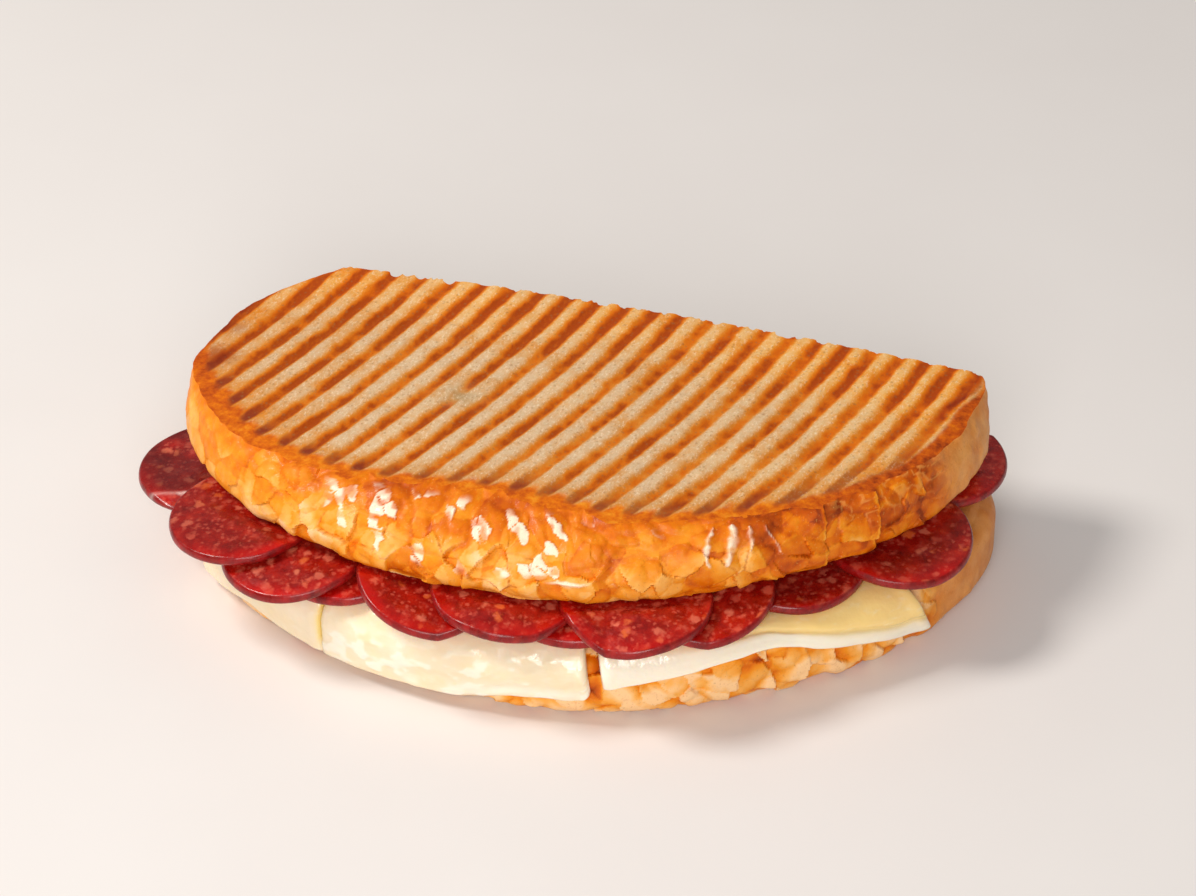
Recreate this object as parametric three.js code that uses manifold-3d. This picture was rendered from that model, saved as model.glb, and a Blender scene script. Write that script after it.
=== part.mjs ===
// Half of a pressed sausage toastie: two slices of an oval loaf with cheese sheets and
// shingled sausage slices between them, cut straight across. Millimetres, +Z up. The origin
// is under the middle of the whole, on the surface it rests on. The cut face looks to +Y.
import * as THREE from 'three';
import { mergeVertices } from 'three/addons/utils/BufferGeometryUtils.js';
import Module from 'manifold-3d';

const wasm = await Module();
wasm.setup();

// The loaf's oval, seen from above.
const OVAL_LENGTH = 209.2;
const OVAL_WIDTH = 142.2;
const OVAL_POWER = 1.8;
const OVAL_TURN = THREE.MathUtils.degToRad(13);
const CUT_Y = 58.2;
const GAP = 0.3;

// The two slices of bread. Insets are measured inwards from the oval, and angles go round it
// counter-clockwise from the right. The cut leaves the angles from about 120 to 380.
const BOTTOM_BREAD = {
  centre: [6.5, 19.8],
  top: 20.5,
  baseEdge: 6,
  baseEdgeHeight: 5.5,
  shoulder: 7.5,
  shoulderHeight: 6.5,
};
const TOP_BREAD = {
  centre: [2.5, 24.3],
  base: 31.5,
  baseSag: 1.6,
  sagFrom: -13,
  sagTo: 37,
  top: 50,
  endDrop: 3,
  endReach: 95,
  baseEdge: 3.5,
  shoulder: 8.2,
  frontShoulder: 12,
  frontAngle: 253,
  frontSpread: 26,
  backShoulder: 0.8,
  leftFade: [192, 166],
  rightFade: [352, 370],
  shoulderSweep: 62,
  bulge: 2.2,
  bulgeAngle: 150,
  bulgeSpread: 9,
};
const BREAD_SEGMENTS = 108;
const CRAG_SIZE = 9;
const CRAG_DEPTH = 1;
const CRAG_TILT = 0.06;

// The marks of the press: bars that fan out a little and bow.
const GROOVE = {
  first: -12,
  last: 14,
  pitch: 7.77,
  pitchLoss: 0.034,
  middleX: -3.5,
  middleY: 32.1,
  slope: 0.314,
  slopeLoss: 0.0031,
  bow: 0.00128,
  depth: 1.3,
  topWidth: 4.2,
  floorWidth: 1.6,
};

// The cheese: three sheets that hang over the front rim. Angles go round the oval, each
// sheet's sides lean by the flare from its bend to its hem, and hems are heights at even steps.
const CHEESE_THICKNESS = 3;
const HEM_THICKNESS = 1.8;
const CHEESE_SHEETS = [
  {
    name: 'cheese_left',
    from: 198,
    to: 228.6,
    flareFrom: 0,
    flareTo: 0,
    backFrom: -53.7,
    backTo: -34.7,
    hem: [3.4, 7.2, 4.6],
  },
  {
    name: 'cheese_middle',
    from: 229,
    to: 270.1,
    flareFrom: 0,
    flareTo: 1.4,
    backFrom: -34.2,
    backTo: 27.3,
    hem: [4.5, 4, 3.8, 4.4, 7.5, 7.6, 8.3],
  },
  {
    name: 'cheese_right',
    from: 272.3,
    to: 321,
    flareFrom: 1.4,
    flareTo: 5.6,
    backFrom: 28.3,
    backTo: 89.3,
    hem: [11.2, 13.8, 16.2, 17.2, 13.2, 9.4, 6.1],
  },
];
// Where the cheese's two outer sides reach the rim, and how far from the cut that is.
const CHEESE_FRONT = { left: -86.7, right: 93.3, reach: 80 };

// The sausage slices, from the first one laid to the last. A row is left to right. A slice
// droops past what carries it, by its own slope: [x, y, droop].
const SAUSAGE_RADIUS = 19.5;
const SAUSAGE_THICKNESS = 2.6;
const BEND_RATE = 0.08;
const HIDDEN_DROOP = 0.24;
const BACK_ROW = { count: 7, fromX: -55.7, toX: 63.3, y: 52.3 };
const MIDDLE_ROW = { count: 3, fromX: -50.7, toX: 21.3, y: 10.5 };
const RIM_SLICES = [
  [-89.6, -5.7, 0.12],
  [-43.7, -30.7, 0.3],
  [15.3, -31.7, 0.4],
  [63.8, -5.2, 0.15],
  [89.4, 44.8, 0.12],
  [-56.5, -34.8, 0.4],
  [-19.2, -38.7, 0.25],
  [45.1, -24.7, 0.2],
  [87.8, 9.3, 0.12],
  [-72.5, -28.7, 0.15],
  [-0.2, -38.2, 0.4],
  [31.8, -35.2, 0.45],
];

const COLOURS = {
  crust: 0xd98a3c,
  pressed: 0xd9a566,
  cheese: 0xffedc2,
  sausage: 0x8e1f1b,
};

const degrees = THREE.MathUtils.radToDeg;
const mix = THREE.MathUtils.lerp;
const clamp = THREE.MathUtils.clamp;

// ---- solids -------------------------------------------------------------------------

// Moves every vertex of a geometry to where place() says it belongs.
function warp(geometry, place) {
  const spots = geometry.attributes.position;
  const spot = new THREE.Vector3();
  for (let i = 0; i < spots.count; i += 1) {
    spot.fromBufferAttribute(spots, i);
    place(spot);
    spots.setXYZ(i, spot.x, spot.y, spot.z);
  }
  return geometry;
}

// A closed geometry as a solid, without the empty triangles at a lathe's two poles.
function solid(geometry) {
  geometry.deleteAttribute('normal');
  geometry.deleteAttribute('uv');
  const merged = mergeVertices(geometry, 1e-4);
  const index = merged.index.array;
  const triangles = [];
  for (let i = 0; i < index.length; i += 3) {
    const [a, b, c] = [index[i], index[i + 1], index[i + 2]];
    if (a !== b && b !== c && c !== a) {
      triangles.push(a, b, c);
    }
  }
  return new wasm.Manifold(
    new wasm.Mesh({
      numProp: 3,
      vertProperties: new Float32Array(merged.attributes.position.array),
      triVerts: new Uint32Array(triangles),
    }),
  );
}

// A solid as a named mesh.
function piece(name, body, colour, roughness) {
  const mesh = body.getMesh();
  const geometry = new THREE.BufferGeometry();
  geometry.setAttribute('position', new THREE.BufferAttribute(new Float32Array(mesh.vertProperties), 3));
  geometry.setIndex(Array.from(mesh.triVerts));
  geometry.computeVertexNormals();
  const material = new THREE.MeshStandardMaterial({ color: colour, roughness, metalness: 0 });
  const result = new THREE.Mesh(geometry, material);
  result.name = name;
  return result;
}

// What lies beyond the knife's cut.
const BEYOND = 300;
const beyondCut = solid(new THREE.BoxGeometry(BEYOND, BEYOND, BEYOND).translate(0, CUT_Y + BEYOND / 2, 0));

// ---- the oval -------------------------------------------------------------------------

// The point of the oval at an angle in degrees, moved inwards by the inset.
function rimPoint(centre, angle, inset) {
  const a = THREE.MathUtils.degToRad(angle);
  const power = 2 / OVAL_POWER;
  const along = (OVAL_LENGTH / 2) * Math.sign(Math.cos(a)) * Math.abs(Math.cos(a)) ** power;
  const across = (OVAL_WIDTH / 2) * Math.sign(Math.sin(a)) * Math.abs(Math.sin(a)) ** power;
  const normal = new THREE.Vector2(
    Math.sign(along) * Math.abs((2 * along) / OVAL_LENGTH) ** (OVAL_POWER - 1) / OVAL_LENGTH,
    Math.sign(across) * Math.abs((2 * across) / OVAL_WIDTH) ** (OVAL_POWER - 1) / OVAL_WIDTH,
  );
  normal.normalize();
  const point = new THREE.Vector2(along, across).addScaledVector(normal, -inset);
  point.rotateAround(new THREE.Vector2(), OVAL_TURN);
  return [point.x + centre[0], point.y + centre[1]];
}

// How far inside the oval a place is: 1 on the rim, 0 at the centre.
function ovalShare(centre, x, y) {
  const at = new THREE.Vector2(x - centre[0], y - centre[1]);
  at.rotateAround(new THREE.Vector2(), -OVAL_TURN);
  const along = Math.abs((2 * at.x) / OVAL_LENGTH) ** OVAL_POWER;
  const across = Math.abs((2 * at.y) / OVAL_WIDTH) ** OVAL_POWER;
  return (along + across) ** (1 / OVAL_POWER);
}

// ---- bread ----------------------------------------------------------------------------

// The pressed face falls off a little towards both ends.
function topHeight(x) {
  const { centre, top, endDrop, endReach } = TOP_BREAD;
  return top - endDrop * ((x - centre[0]) / endReach) ** 2;
}

// The underside of the top slice sags a little onto the filling behind the front rim.
function fillingCeiling(y) {
  const { base, baseSag, sagFrom, sagTo } = TOP_BREAD;
  return base - baseSag * THREE.MathUtils.smoothstep(y, sagFrom, sagTo);
}

// A fixed number from 0 to 1 for each cell of the crust.
function cellValue(i, j) {
  const wave = Math.sin(i * 127.1 + j * 311.7) * 43758.5453;
  return wave - Math.floor(wave);
}

// Roughly the distance round the rim to an angle.
const around = (angle) => (THREE.MathUtils.degToRad(angle) * (OVAL_LENGTH + OVAL_WIDTH)) / 4;

// The crust's flakes: flat facets that stand out from it by up to the crag depth.
function crag(along, up) {
  let nearest = Infinity;
  let relief = 0;
  const column = Math.floor(along / CRAG_SIZE);
  const row = Math.floor(up / CRAG_SIZE);
  for (let i = column - 1; i <= column + 1; i += 1) {
    for (let j = row - 1; j <= row + 1; j += 1) {
      const dx = along - (i + cellValue(i, j)) * CRAG_SIZE;
      const dy = up - (j + cellValue(j + 7, i)) * CRAG_SIZE;
      const distance = Math.hypot(dx, dy);
      if (distance < nearest) {
        nearest = distance;
        relief = cellValue(i + 3, j + 5) + CRAG_TILT * dx;
      }
    }
  }
  return CRAG_DEPTH * clamp(relief, 0, 1);
}

// A quarter of a rounded edge, as insets and heights in shares of its width and height.
const EDGE_SWEEPS = [0, 30, 60, 90].map(THREE.MathUtils.degToRad);

// A slice of bread: a lathe grid whose rings are laid on the oval. Each station gives, for
// an angle, the ring's inset, its share of the way out from the centre, its height and how
// much of the crags it carries. The grid closes at the centre of its two faces.
function breadSlice(centre, stations, underside, upside) {
  const last = stations.length + 1;
  const profile = [];
  for (let k = 0; k <= last; k += 1) {
    profile.push(new THREE.Vector2(k === 0 || k === last ? 0 : 1, k));
  }
  const grid = new THREE.LatheGeometry(profile, BREAD_SEGMENTS);
  return warp(grid, (spot) => {
    const k = Math.round(spot.y);
    if (k === 0 || k === last) {
      const face = k === 0 ? underside : upside;
      spot.set(centre[0], centre[1], face(centre[0], centre[1]));
      return;
    }
    const angle = (degrees(Math.atan2(-spot.z, spot.x)) + 360) % 360;
    const { inset, share, height, crags } = stations[k - 1](angle);
    const flat = typeof height === 'function';
    const bump = flat ? 0 : crags * (CRAG_DEPTH - crag(around(angle), height + inset));
    const rim = rimPoint(centre, angle, inset + bump);
    const x = mix(centre[0], rim[0], share);
    const y = mix(centre[1], rim[1], share);
    spot.set(x, y, flat ? height(x, y) : height);
  });
}

// Rings on a flat face, in shares of the way from the centre to the rim.
const faceRings = (inset, face, shares) =>
  shares.map((share) => (angle) => ({ inset: inset(angle), share, height: face, crags: 0 }));

// Rings up the rounded edge from an underside to the wall, which may stand out by a bulge.
const lowerEdge = (width, height, base, bulge) =>
  EDGE_SWEEPS.slice(1).map((sweep) => (angle) => ({
    inset: width * (1 - Math.sin(sweep)) - bulge(angle) * Math.sin(sweep),
    share: 1,
    height: base + height * (1 - Math.cos(sweep)),
    crags: Math.sin(sweep),
  }));

function bottomBread() {
  const { centre, top, baseEdge, baseEdgeHeight, shoulder, shoulderHeight } = BOTTOM_BREAD;
  const base = () => 0;
  const upside = () => top;
  const wall = () => ({ inset: 0, share: 1, height: (baseEdgeHeight + top - shoulderHeight) / 2, crags: 1 });
  const shoulderArc = EDGE_SWEEPS.slice(0, 3).map((sweep) => () => ({
    inset: shoulder * (1 - Math.cos(sweep)),
    share: 1,
    height: top - shoulderHeight * (1 - Math.sin(sweep)),
    crags: Math.cos(sweep),
  }));
  const stations = [
    ...faceRings(() => baseEdge, base, [0.5, 1]),
    ...lowerEdge(baseEdge, baseEdgeHeight, 0, () => 0),
    wall,
    ...shoulderArc,
    ...faceRings(() => shoulder, upside, [1, 0.5]),
  ];
  return solid(breadSlice(centre, stations, base, upside)).subtract(beyondCut);
}

const hump = (value, middle, spread) => Math.exp(-(((value - middle) / spread) ** 2));

// An angle as it runs along the rim that the cut leaves, without a jump at the right end.
const alongRim = (angle) => (angle < 90 ? angle + 360 : angle);

// The width of the top slice's rounded crust: widest along the front, and almost none towards
// the two ends of the cut.
function topShoulder(angle) {
  const { shoulder, frontShoulder, frontAngle, frontSpread, backShoulder, leftFade, rightFade } = TOP_BREAD;
  const at = alongRim(angle);
  const width = shoulder + frontShoulder * hump(at, frontAngle, frontSpread);
  const left = THREE.MathUtils.smoothstep(-at, -leftFade[0], -leftFade[1]);
  const right = THREE.MathUtils.smoothstep(at, ...rightFade);
  return mix(width, backShoulder, Math.max(left, right));
}

// The top slice stands out past the oval at its far left.
function topBulge(angle) {
  const { bulge, bulgeAngle, bulgeSpread } = TOP_BREAD;
  return bulge * hump(alongRim(angle), bulgeAngle, bulgeSpread);
}

// The loaf's round form rises past where the press flattened it, and the press is cut off.
const SHOULDER_PARTS = [0.2, 0.42, 0.62, 0.82, 1, 1.25];
const RISE_PAST_PRESS = 3;

function topBread() {
  const { centre, base, top, baseEdge, shoulderSweep } = TOP_BREAD;
  const wallHeight = base + baseEdge;
  const fullSweep = THREE.MathUtils.degToRad(shoulderSweep);
  const underside = (x, y) => fillingCeiling(y);
  const inwards = (sweep) => (1 - Math.cos(sweep)) / (1 - Math.cos(fullSweep));
  const shoulderArc = SHOULDER_PARTS.map((part) => (angle) => ({
    inset: topShoulder(angle) * inwards(part * fullSweep) - topBulge(angle),
    share: 1,
    height: wallHeight + ((top - wallHeight) * Math.sin(part * fullSweep)) / Math.sin(fullSweep),
    crags: 1,
  }));
  const stations = [
    ...faceRings(() => baseEdge, underside, [0.4, 0.8, 1]),
    ...lowerEdge(baseEdge, baseEdge, base, topBulge),
    ...shoulderArc,
  ];
  const slice = solid(breadSlice(centre, stations, underside, () => top + RISE_PAST_PRESS));
  return slice.subtract(beyondCut).subtract(press());
}

// The middle line of one groove, across the slice.
function grooveX(k, y) {
  const { middleX, middleY, pitch, pitchLoss, slope, slopeLoss, bow } = GROOVE;
  const off = y - middleY;
  return middleX + pitch * k - pitchLoss * k * k + (slope - slopeLoss * k) * off - bow * off * off;
}

// The press: a plate with ribs on its underside that follows the crown of the slice.
const PRESS_REACH = [-58, CUT_Y + 8];
const PRESS_ROWS = 7;
const PRESS_TOP = 70;

function press() {
  const { first, last, depth, topWidth, floorWidth } = GROOVE;
  const lanes = [];
  for (let k = first; k <= last; k += 1) {
    lanes.push(
      { k, off: -topWidth / 2, sink: 0 },
      { k, off: -floorWidth / 2, sink: depth },
      { k, off: floorWidth / 2, sink: depth },
      { k, off: topWidth / 2, sink: 0 },
    );
  }
  const [front, back] = PRESS_REACH;
  const plate = new THREE.BoxGeometry(1, 1, 1, lanes.length - 1, PRESS_ROWS, 1);
  warp(plate, (spot) => {
    const { k, off, sink } = lanes[Math.round((spot.x + 0.5) * (lanes.length - 1))];
    const y = mix(front, back, spot.y + 0.5);
    const x = grooveX(k, y) + off;
    spot.set(x, y, spot.z < 0 ? topHeight(x) - sink : PRESS_TOP);
  });
  return solid(plate);
}

// ---- cheese ---------------------------------------------------------------------------

// The height of the hem at a share of the way across a sheet.
function hemHeight(hem, across) {
  const at = clamp(across, 0, 1) * (hem.length - 1);
  const i = Math.min(Math.floor(at), hem.length - 2);
  return mix(hem[i], hem[i + 1], at - i);
}

// A place on the rim of the bottom slice, pushed outwards by a distance. The drop goes
// from 0 on the flat top, over the shoulder and down the wall, to 1 at the hem.
function rimDrape(angle, drop, hem, out) {
  const { centre, top, shoulder, shoulderHeight, baseEdge, baseEdgeHeight } = BOTTOM_BREAD;
  const bendHeight = top - shoulderHeight;
  const bendLength = (Math.PI / 4) * (shoulder + shoulderHeight);
  const hang = Math.max(0, bendHeight - hem);
  const fullSweep = Math.acos(clamp((hem - bendHeight) / shoulderHeight, 0, 1));
  const length = (bendLength * fullSweep) / (Math.PI / 2) + hang;
  const sweep = ((drop * length) / bendLength) * (Math.PI / 2);
  if (sweep <= Math.PI / 2) {
    const inset = shoulder * (1 - Math.sin(sweep)) - out * Math.sin(sweep);
    const height = bendHeight + (shoulderHeight + out) * Math.cos(sweep);
    return [...rimPoint(centre, angle, inset), height];
  }
  const height = bendHeight - (drop * length - bendLength);
  const under = clamp((baseEdgeHeight - height) / baseEdgeHeight, 0, 1);
  const tuck = baseEdge * (1 - Math.sqrt(1 - under * under));
  return [...rimPoint(centre, angle, tuck - out), height];
}

const SHEET_COLUMN = 3.2;
const [FLAT_ROWS, DROP_ROWS] = [1, 8];

function cheeseSheet({ from, to, flareFrom, flareTo, backFrom, backTo, hem }) {
  const columns = Math.round((to - from) / SHEET_COLUMN);
  const rows = FLAT_ROWS + DROP_ROWS;
  const sheet = warp(new THREE.BoxGeometry(1, 1, 1, columns, rows, 1), (spot) => {
    const across = spot.x + 0.5;
    const row = Math.round((0.5 - spot.y) * rows);
    const drop = Math.max(0, row - FLAT_ROWS) / DROP_ROWS;
    const angle = mix(from, to, across) + drop * mix(flareFrom, flareTo, across);
    const thickness = mix(CHEESE_THICKNESS, HEM_THICKNESS, drop ** 3);
    const out = GAP + (spot.z > 0 ? thickness : 0);
    const [x, y, z] = rimDrape(angle, drop, hemHeight(hem, across), out);
    if (row >= FLAT_ROWS) {
      spot.set(x, y, z);
      return;
    }
    spot.set(mix(backFrom, backTo, across), CUT_Y, BOTTOM_BREAD.top + out);
  });
  return solid(sheet);
}

// ---- sausage --------------------------------------------------------------------------

// The height of what the slices lie on, kept on a square grid and raised slice by slice.
const MAP_STEP = 1;
const MAP_HALF = 120;
const mapSize = (2 * MAP_HALF) / MAP_STEP + 1;
const pileHeight = new Float32Array(mapSize * mapSize);

const gridCell = (value) => Math.round((value + MAP_HALF) / MAP_STEP);

function onCheese(x, y) {
  const share = clamp((CUT_Y - y) / CHEESE_FRONT.reach, 0, 1);
  const left = mix(CHEESE_SHEETS[0].backFrom, CHEESE_FRONT.left, share);
  const right = mix(CHEESE_SHEETS[2].backTo, CHEESE_FRONT.right, share);
  return x > left - 1 && x < right + 1;
}

// The bottom slice with its cheese: flat, then rounded off towards the rim.
function breadHeight(x, y) {
  const { centre, top, shoulder, shoulderHeight } = BOTTOM_BREAD;
  const reach = Math.hypot(x - centre[0], y - centre[1]);
  const inset = reach / ovalShare(centre, x, y) - reach;
  const cover = onCheese(x, y) ? GAP + CHEESE_THICKNESS : 0;
  if (inset < -cover) {
    return 0;
  }
  const out = clamp((shoulder - inset) / (shoulder + cover), 0, 1);
  return top - shoulderHeight + (shoulderHeight + cover) * Math.sqrt(1 - out * out);
}

for (let j = 0; j < mapSize; j += 1) {
  for (let i = 0; i < mapSize; i += 1) {
    pileHeight[j * mapSize + i] = breadHeight(i * MAP_STEP - MAP_HALF, j * MAP_STEP - MAP_HALF);
  }
}

// The places of the pile that a slice at this centre covers.
function coveredCells(cx, cy, reach) {
  const cells = [];
  for (let j = gridCell(cy - reach); j <= gridCell(cy + reach); j += 1) {
    for (let i = gridCell(cx - reach); i <= gridCell(cx + reach); i += 1) {
      const [x, y] = [i * MAP_STEP - MAP_HALF, j * MAP_STEP - MAP_HALF];
      if (Math.hypot(x - cx, y - cy) <= reach) {
        cells.push([x, y, j * mapSize + i]);
      }
    }
  }
  return cells;
}

// The slope that a slice can bend to limits how fast its underside follows the pile.
function restingHeight(cells, droop, x, y) {
  const soft = droop / BEND_RATE;
  let height = 0;
  for (const [cx, cy, cell] of cells) {
    const distance = Math.hypot(x - cx, y - cy);
    height = Math.max(height, pileHeight[cell] - droop * (Math.hypot(distance, soft) - soft));
  }
  return height;
}

// Under the top slice of bread the pile is pressed flat. Past its rim a slice may rise at a
// slope, up the rounded lower edge of the bread.
const RISE_FROM = 0.99;
const RISE_SLOPE = 25;

function pressedHeight(x, y) {
  const outside = Math.max(0, ovalShare(TOP_BREAD.centre, x, y) - RISE_FROM);
  return fillingCeiling(y) - GAP + RISE_SLOPE * outside;
}

// The rings of a slice of sausage, as shares of its radius and of half its thickness.
const SHOWN_RINGS = [
  [0.35, -1],
  [0.68, -1],
  [0.93, -1],
  [1, -0.3],
  [1, 0.3],
  [0.95, 1],
  [0.68, 1],
  [0.35, 1],
];
const HIDDEN_RINGS = [
  [0.55, -1],
  [0.96, -1],
  [1, 0],
  [0.96, 1],
  [0.55, 1],
];

function sausageSlice([cx, cy, droop], shown) {
  const cells = coveredCells(cx, cy, SAUSAGE_RADIUS + MAP_STEP / 2);
  const faces = (x, y) => {
    const floor = restingHeight(cells, droop, x, y) + GAP;
    return [floor, Math.min(floor + SAUSAGE_THICKNESS, pressedHeight(x, y))];
  };
  const points = [[0, -1], ...(shown ? SHOWN_RINGS : HIDDEN_RINGS), [0, 1]];
  const profile = points.map(([share, level]) => new THREE.Vector2(share * SAUSAGE_RADIUS, level));
  const slice = warp(new THREE.LatheGeometry(profile, shown ? 24 : 16), (spot) => {
    const [x, y] = [cx + spot.x, cy - spot.z];
    const [floor, top] = faces(x, y);
    spot.set(x, y, mix(floor, top, (1 + spot.y) / 2));
  });
  const raised = cells.map(([x, y]) => faces(x, y)[1]);
  cells.forEach(([, , cell], i) => {
    pileHeight[cell] = raised[i];
  });
  return solid(slice).subtract(beyondCut);
}

// The places in a row, evenly spaced from left to right.
function rowPlaces({ count, fromX, toX, y }) {
  const places = [];
  for (let i = 0; i < count; i += 1) {
    places.push([mix(fromX, toX, i / (count - 1)), y, HIDDEN_DROOP]);
  }
  return places;
}

// ---- the whole ------------------------------------------------------------------------

const toastie = new THREE.Group();
toastie.add(piece('bread_bottom', bottomBread(), COLOURS.crust, 0.7));
toastie.add(piece('bread_top', topBread(), COLOURS.pressed, 0.7));
for (const sheet of CHEESE_SHEETS) {
  toastie.add(piece(sheet.name, cheeseSheet(sheet), COLOURS.cheese, 0.4));
}
const places = [...rowPlaces(BACK_ROW), ...rowPlaces(MIDDLE_ROW), ...RIM_SLICES];
places.forEach((place, i) => {
  const shown = i >= BACK_ROW.count + MIDDLE_ROW.count;
  const name = `sausage_${String(i + 1).padStart(2, '0')}`;
  toastie.add(piece(name, sausageSlice(place, shown), COLOURS.sausage, 0.35));
});

export default toastie;
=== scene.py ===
"""Half of a pressed sausage toastie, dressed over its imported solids.

Lengths in the shape functions are millimetres, as in the part's source, and meshes are made in
metres. Each piece repeats the named sizes of the solid it replaces, at a much finer step.
"""
import math

import bpy
import numpy as np
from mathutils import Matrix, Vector
from mathutils.kdtree import KDTree


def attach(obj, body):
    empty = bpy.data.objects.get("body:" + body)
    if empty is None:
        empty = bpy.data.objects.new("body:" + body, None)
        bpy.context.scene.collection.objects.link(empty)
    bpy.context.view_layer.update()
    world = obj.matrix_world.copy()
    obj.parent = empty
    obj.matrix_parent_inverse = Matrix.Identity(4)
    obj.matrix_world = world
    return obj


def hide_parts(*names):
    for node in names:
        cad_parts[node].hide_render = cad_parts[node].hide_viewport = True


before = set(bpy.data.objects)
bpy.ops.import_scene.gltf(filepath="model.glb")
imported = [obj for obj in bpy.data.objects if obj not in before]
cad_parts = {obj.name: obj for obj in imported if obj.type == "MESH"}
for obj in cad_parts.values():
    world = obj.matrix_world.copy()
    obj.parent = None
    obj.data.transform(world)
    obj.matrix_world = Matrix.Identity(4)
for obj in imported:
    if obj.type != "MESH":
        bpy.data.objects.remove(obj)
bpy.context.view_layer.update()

MM = 0.001
FINE = 1.0

# ---- sizes shared with the solids ----

OVAL_LENGTH = 209.2
OVAL_WIDTH = 142.2
OVAL_POWER = 1.8
OVAL_TURN = math.radians(13)
FRONT_ANGLE = 270
CUT_Y = 58.2
CUT_SPAN = (-100, 112)
GAP = 0.3

BOTTOM = {
    "centre": (6.5, 19.8), "base": 0.0, "sag": 0.0, "top": 20.5,
    "edge": 6.0, "edge_height": 5.5, "shoulder": 7.5, "shoulder_height": 6.5,
    "cut": (-3, 24), "seed": 91,
}
TOP = {
    "centre": (2.5, 24.3), "base": 31.5, "sag": 1.6, "top": 50.0,
    "end_drop": 3.0, "end_reach": 95, "edge": 3.5,
    "cut": (26, 53), "seed": 71,
}
SAG_SPAN = (-13, 37)
SHOULDER = {
    "width": 8.2, "front": 12.0, "angle": 253.0, "spread": 26.0, "back": 0.8, "sweep": math.radians(62),
}
BULGE = {"size": 2.2, "angle": 150.0, "spread": 9.0}

GROOVES = range(-12, 15)
GROOVE = {
    "pitch": 7.77, "loss": 0.034, "x": -3.5, "y": 32.1, "slope": 0.314, "slope_loss": 0.0031, "bow": 0.00128,
}
GROOVE_DEPTH = 0.8

CHEESE_THICKNESS = 3.0
HEM_THICKNESS = 1.8
CHEESE = {
    "cheese_left": {
        "span": (198, 228.75), "flare": (0, 0), "back": (-53.7, -34.5),
        "hem": (3.4, 7.2, 4.6),
    },
    "cheese_middle": {
        "span": (228.8, 270.1), "flare": (0, 1.4), "back": (-34.4, 27.3),
        "hem": (4.5, 4, 3.8, 4.4, 7.5, 7.6, 8.3),
    },
    "cheese_right": {
        "span": (272.3, 321), "flare": (1.4, 5.6), "back": (28.3, 89.3),
        "hem": (11.2, 13.8, 16.2, 17.2, 13.2, 9.4, 6.1),
    },
}
CHEESE_FRONT = (-86.7, 93.3)

SAUSAGE_RADIUS = 19.5
SAUSAGE_THICKNESS = 2.6
BEND_RATE = 0.08
HIDDEN_DROOP = 0.24
HIDDEN_SLICES = [(x, 52.3, HIDDEN_DROOP) for x in np.linspace(-55.7, 63.3, 7)]
HIDDEN_SLICES += [(x, 10.5, HIDDEN_DROOP) for x in np.linspace(-50.7, 21.3, 3)]
RIM_SLICES = [
    (-89.6, -5.7, 0.12), (-43.7, -30.7, 0.3), (15.3, -31.7, 0.4), (63.8, -5.2, 0.15), (89.4, 44.8, 0.12),
    (-56.5, -34.8, 0.4), (-19.2, -38.7, 0.25), (45.1, -24.7, 0.2), (87.8, 9.3, 0.12), (-72.5, -28.7, 0.15),
    (-0.2, -38.2, 0.4), (31.8, -35.2, 0.45),
]

# ---- sizes of the finer detail ----

# how far out from the middle the rings of a flat face lie
FLAT_SHARES = np.array([0.3, 0.6, 0.85, 0.95])[:, None]
CRUMB_STEP = 0.42 * FINE
# the size, radius and share of the crumb's holes
HOLES = ((5.2, 1.9, 0.34), (2.9, 1.15, 0.5), (1.7, 0.62, 0.55))
# strength, rim angle, lean, low end, high end, width and bow of the crust's strong ridges
RIDGES = (
    (0.8, 291.0, -0.2, 11, 23, 0.8, 1.0),
    (1.0, 293.5, -0.25, 11, 23, 1.3, -1.0),
    (0.7, 297.2, -0.1, 14, 21, 0.7, -0.4),
    (0.5, 302.0, 0.3, 11, 21, 0.45, 0.3),
)
# rim angle and lean of the crust's long torn edges
TEARS = ((308.5, -0.1), (317.2, -0.15), (301.5, 0.35))
# the crust's colour masks: the flake mask is painted highlight, and the bake mask holds painted shade besides
# the baking
CRUST_MASKS = ("bake", "flake_highlight", "crack", "veins", "tan")
SHEET_LENGTH = 22
SHEET_CORNER = 2.4
# the slice that bends over the rim, and how much darker some of the slices are; on the folded slice the
# darkening behind the fold is painted shade
FOLDED = 11
DEEP = {11: 0.95, 14: 0.35, 16: 0.15, 19: 0.35, 20: 0.35}

# ---- numbers and noise ----


def mix(a, b, share):
    return a + (b - a) * share


def smooth(low, high, value):
    """From 0 at the low value to 1 at the high one, which may be the smaller of the two."""
    share = np.clip((value - low) / (high - low), 0, 1)
    return share * share * (3 - 2 * share)


def hump(value, middle, width):
    return np.exp(-((value - middle) / width) ** 2)


def power(value, exponent):
    """The power of a value's size, with the value's sign."""
    return np.sign(value) * np.abs(value) ** exponent


def chance(i, j, seed):
    """A fixed number from 0 to 1 for each pair of whole numbers."""
    n = i.astype(np.int64) * 374761393 + j.astype(np.int64) * 668265263 + seed * 974634777
    n = (n ^ (n >> 13)) & 0xFFFFFFFF
    n = (n * 1274126177) & 0xFFFFFFFF
    n = n ^ (n >> 16)
    return (n & 0xFFFFFF) / 0xFFFFFF


def ease(a):
    return a * a * a * (a * (6 * a - 15) + 10)


def noise(x, y, size, seed, layers=1):
    """Smooth noise from -1 to 1, with features of the given size."""
    total = np.zeros(np.broadcast(x, y).shape)
    weight, reach = 1.0, 0.0
    for layer in range(layers):
        u, v = np.asarray(x) / size, np.asarray(y) / size
        i, j = np.floor(u), np.floor(v)
        a, b = ease(u - i), ease(v - j)
        own = seed + 17 * layer
        low = mix(chance(i, j, own), chance(i + 1, j, own), a)
        high = mix(chance(i, j + 1, own), chance(i + 1, j + 1, own), a)
        total = total + weight * (2 * mix(low, high, b) - 1)
        reach += weight
        weight *= 0.5
        size *= 0.5
    return total / reach


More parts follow.
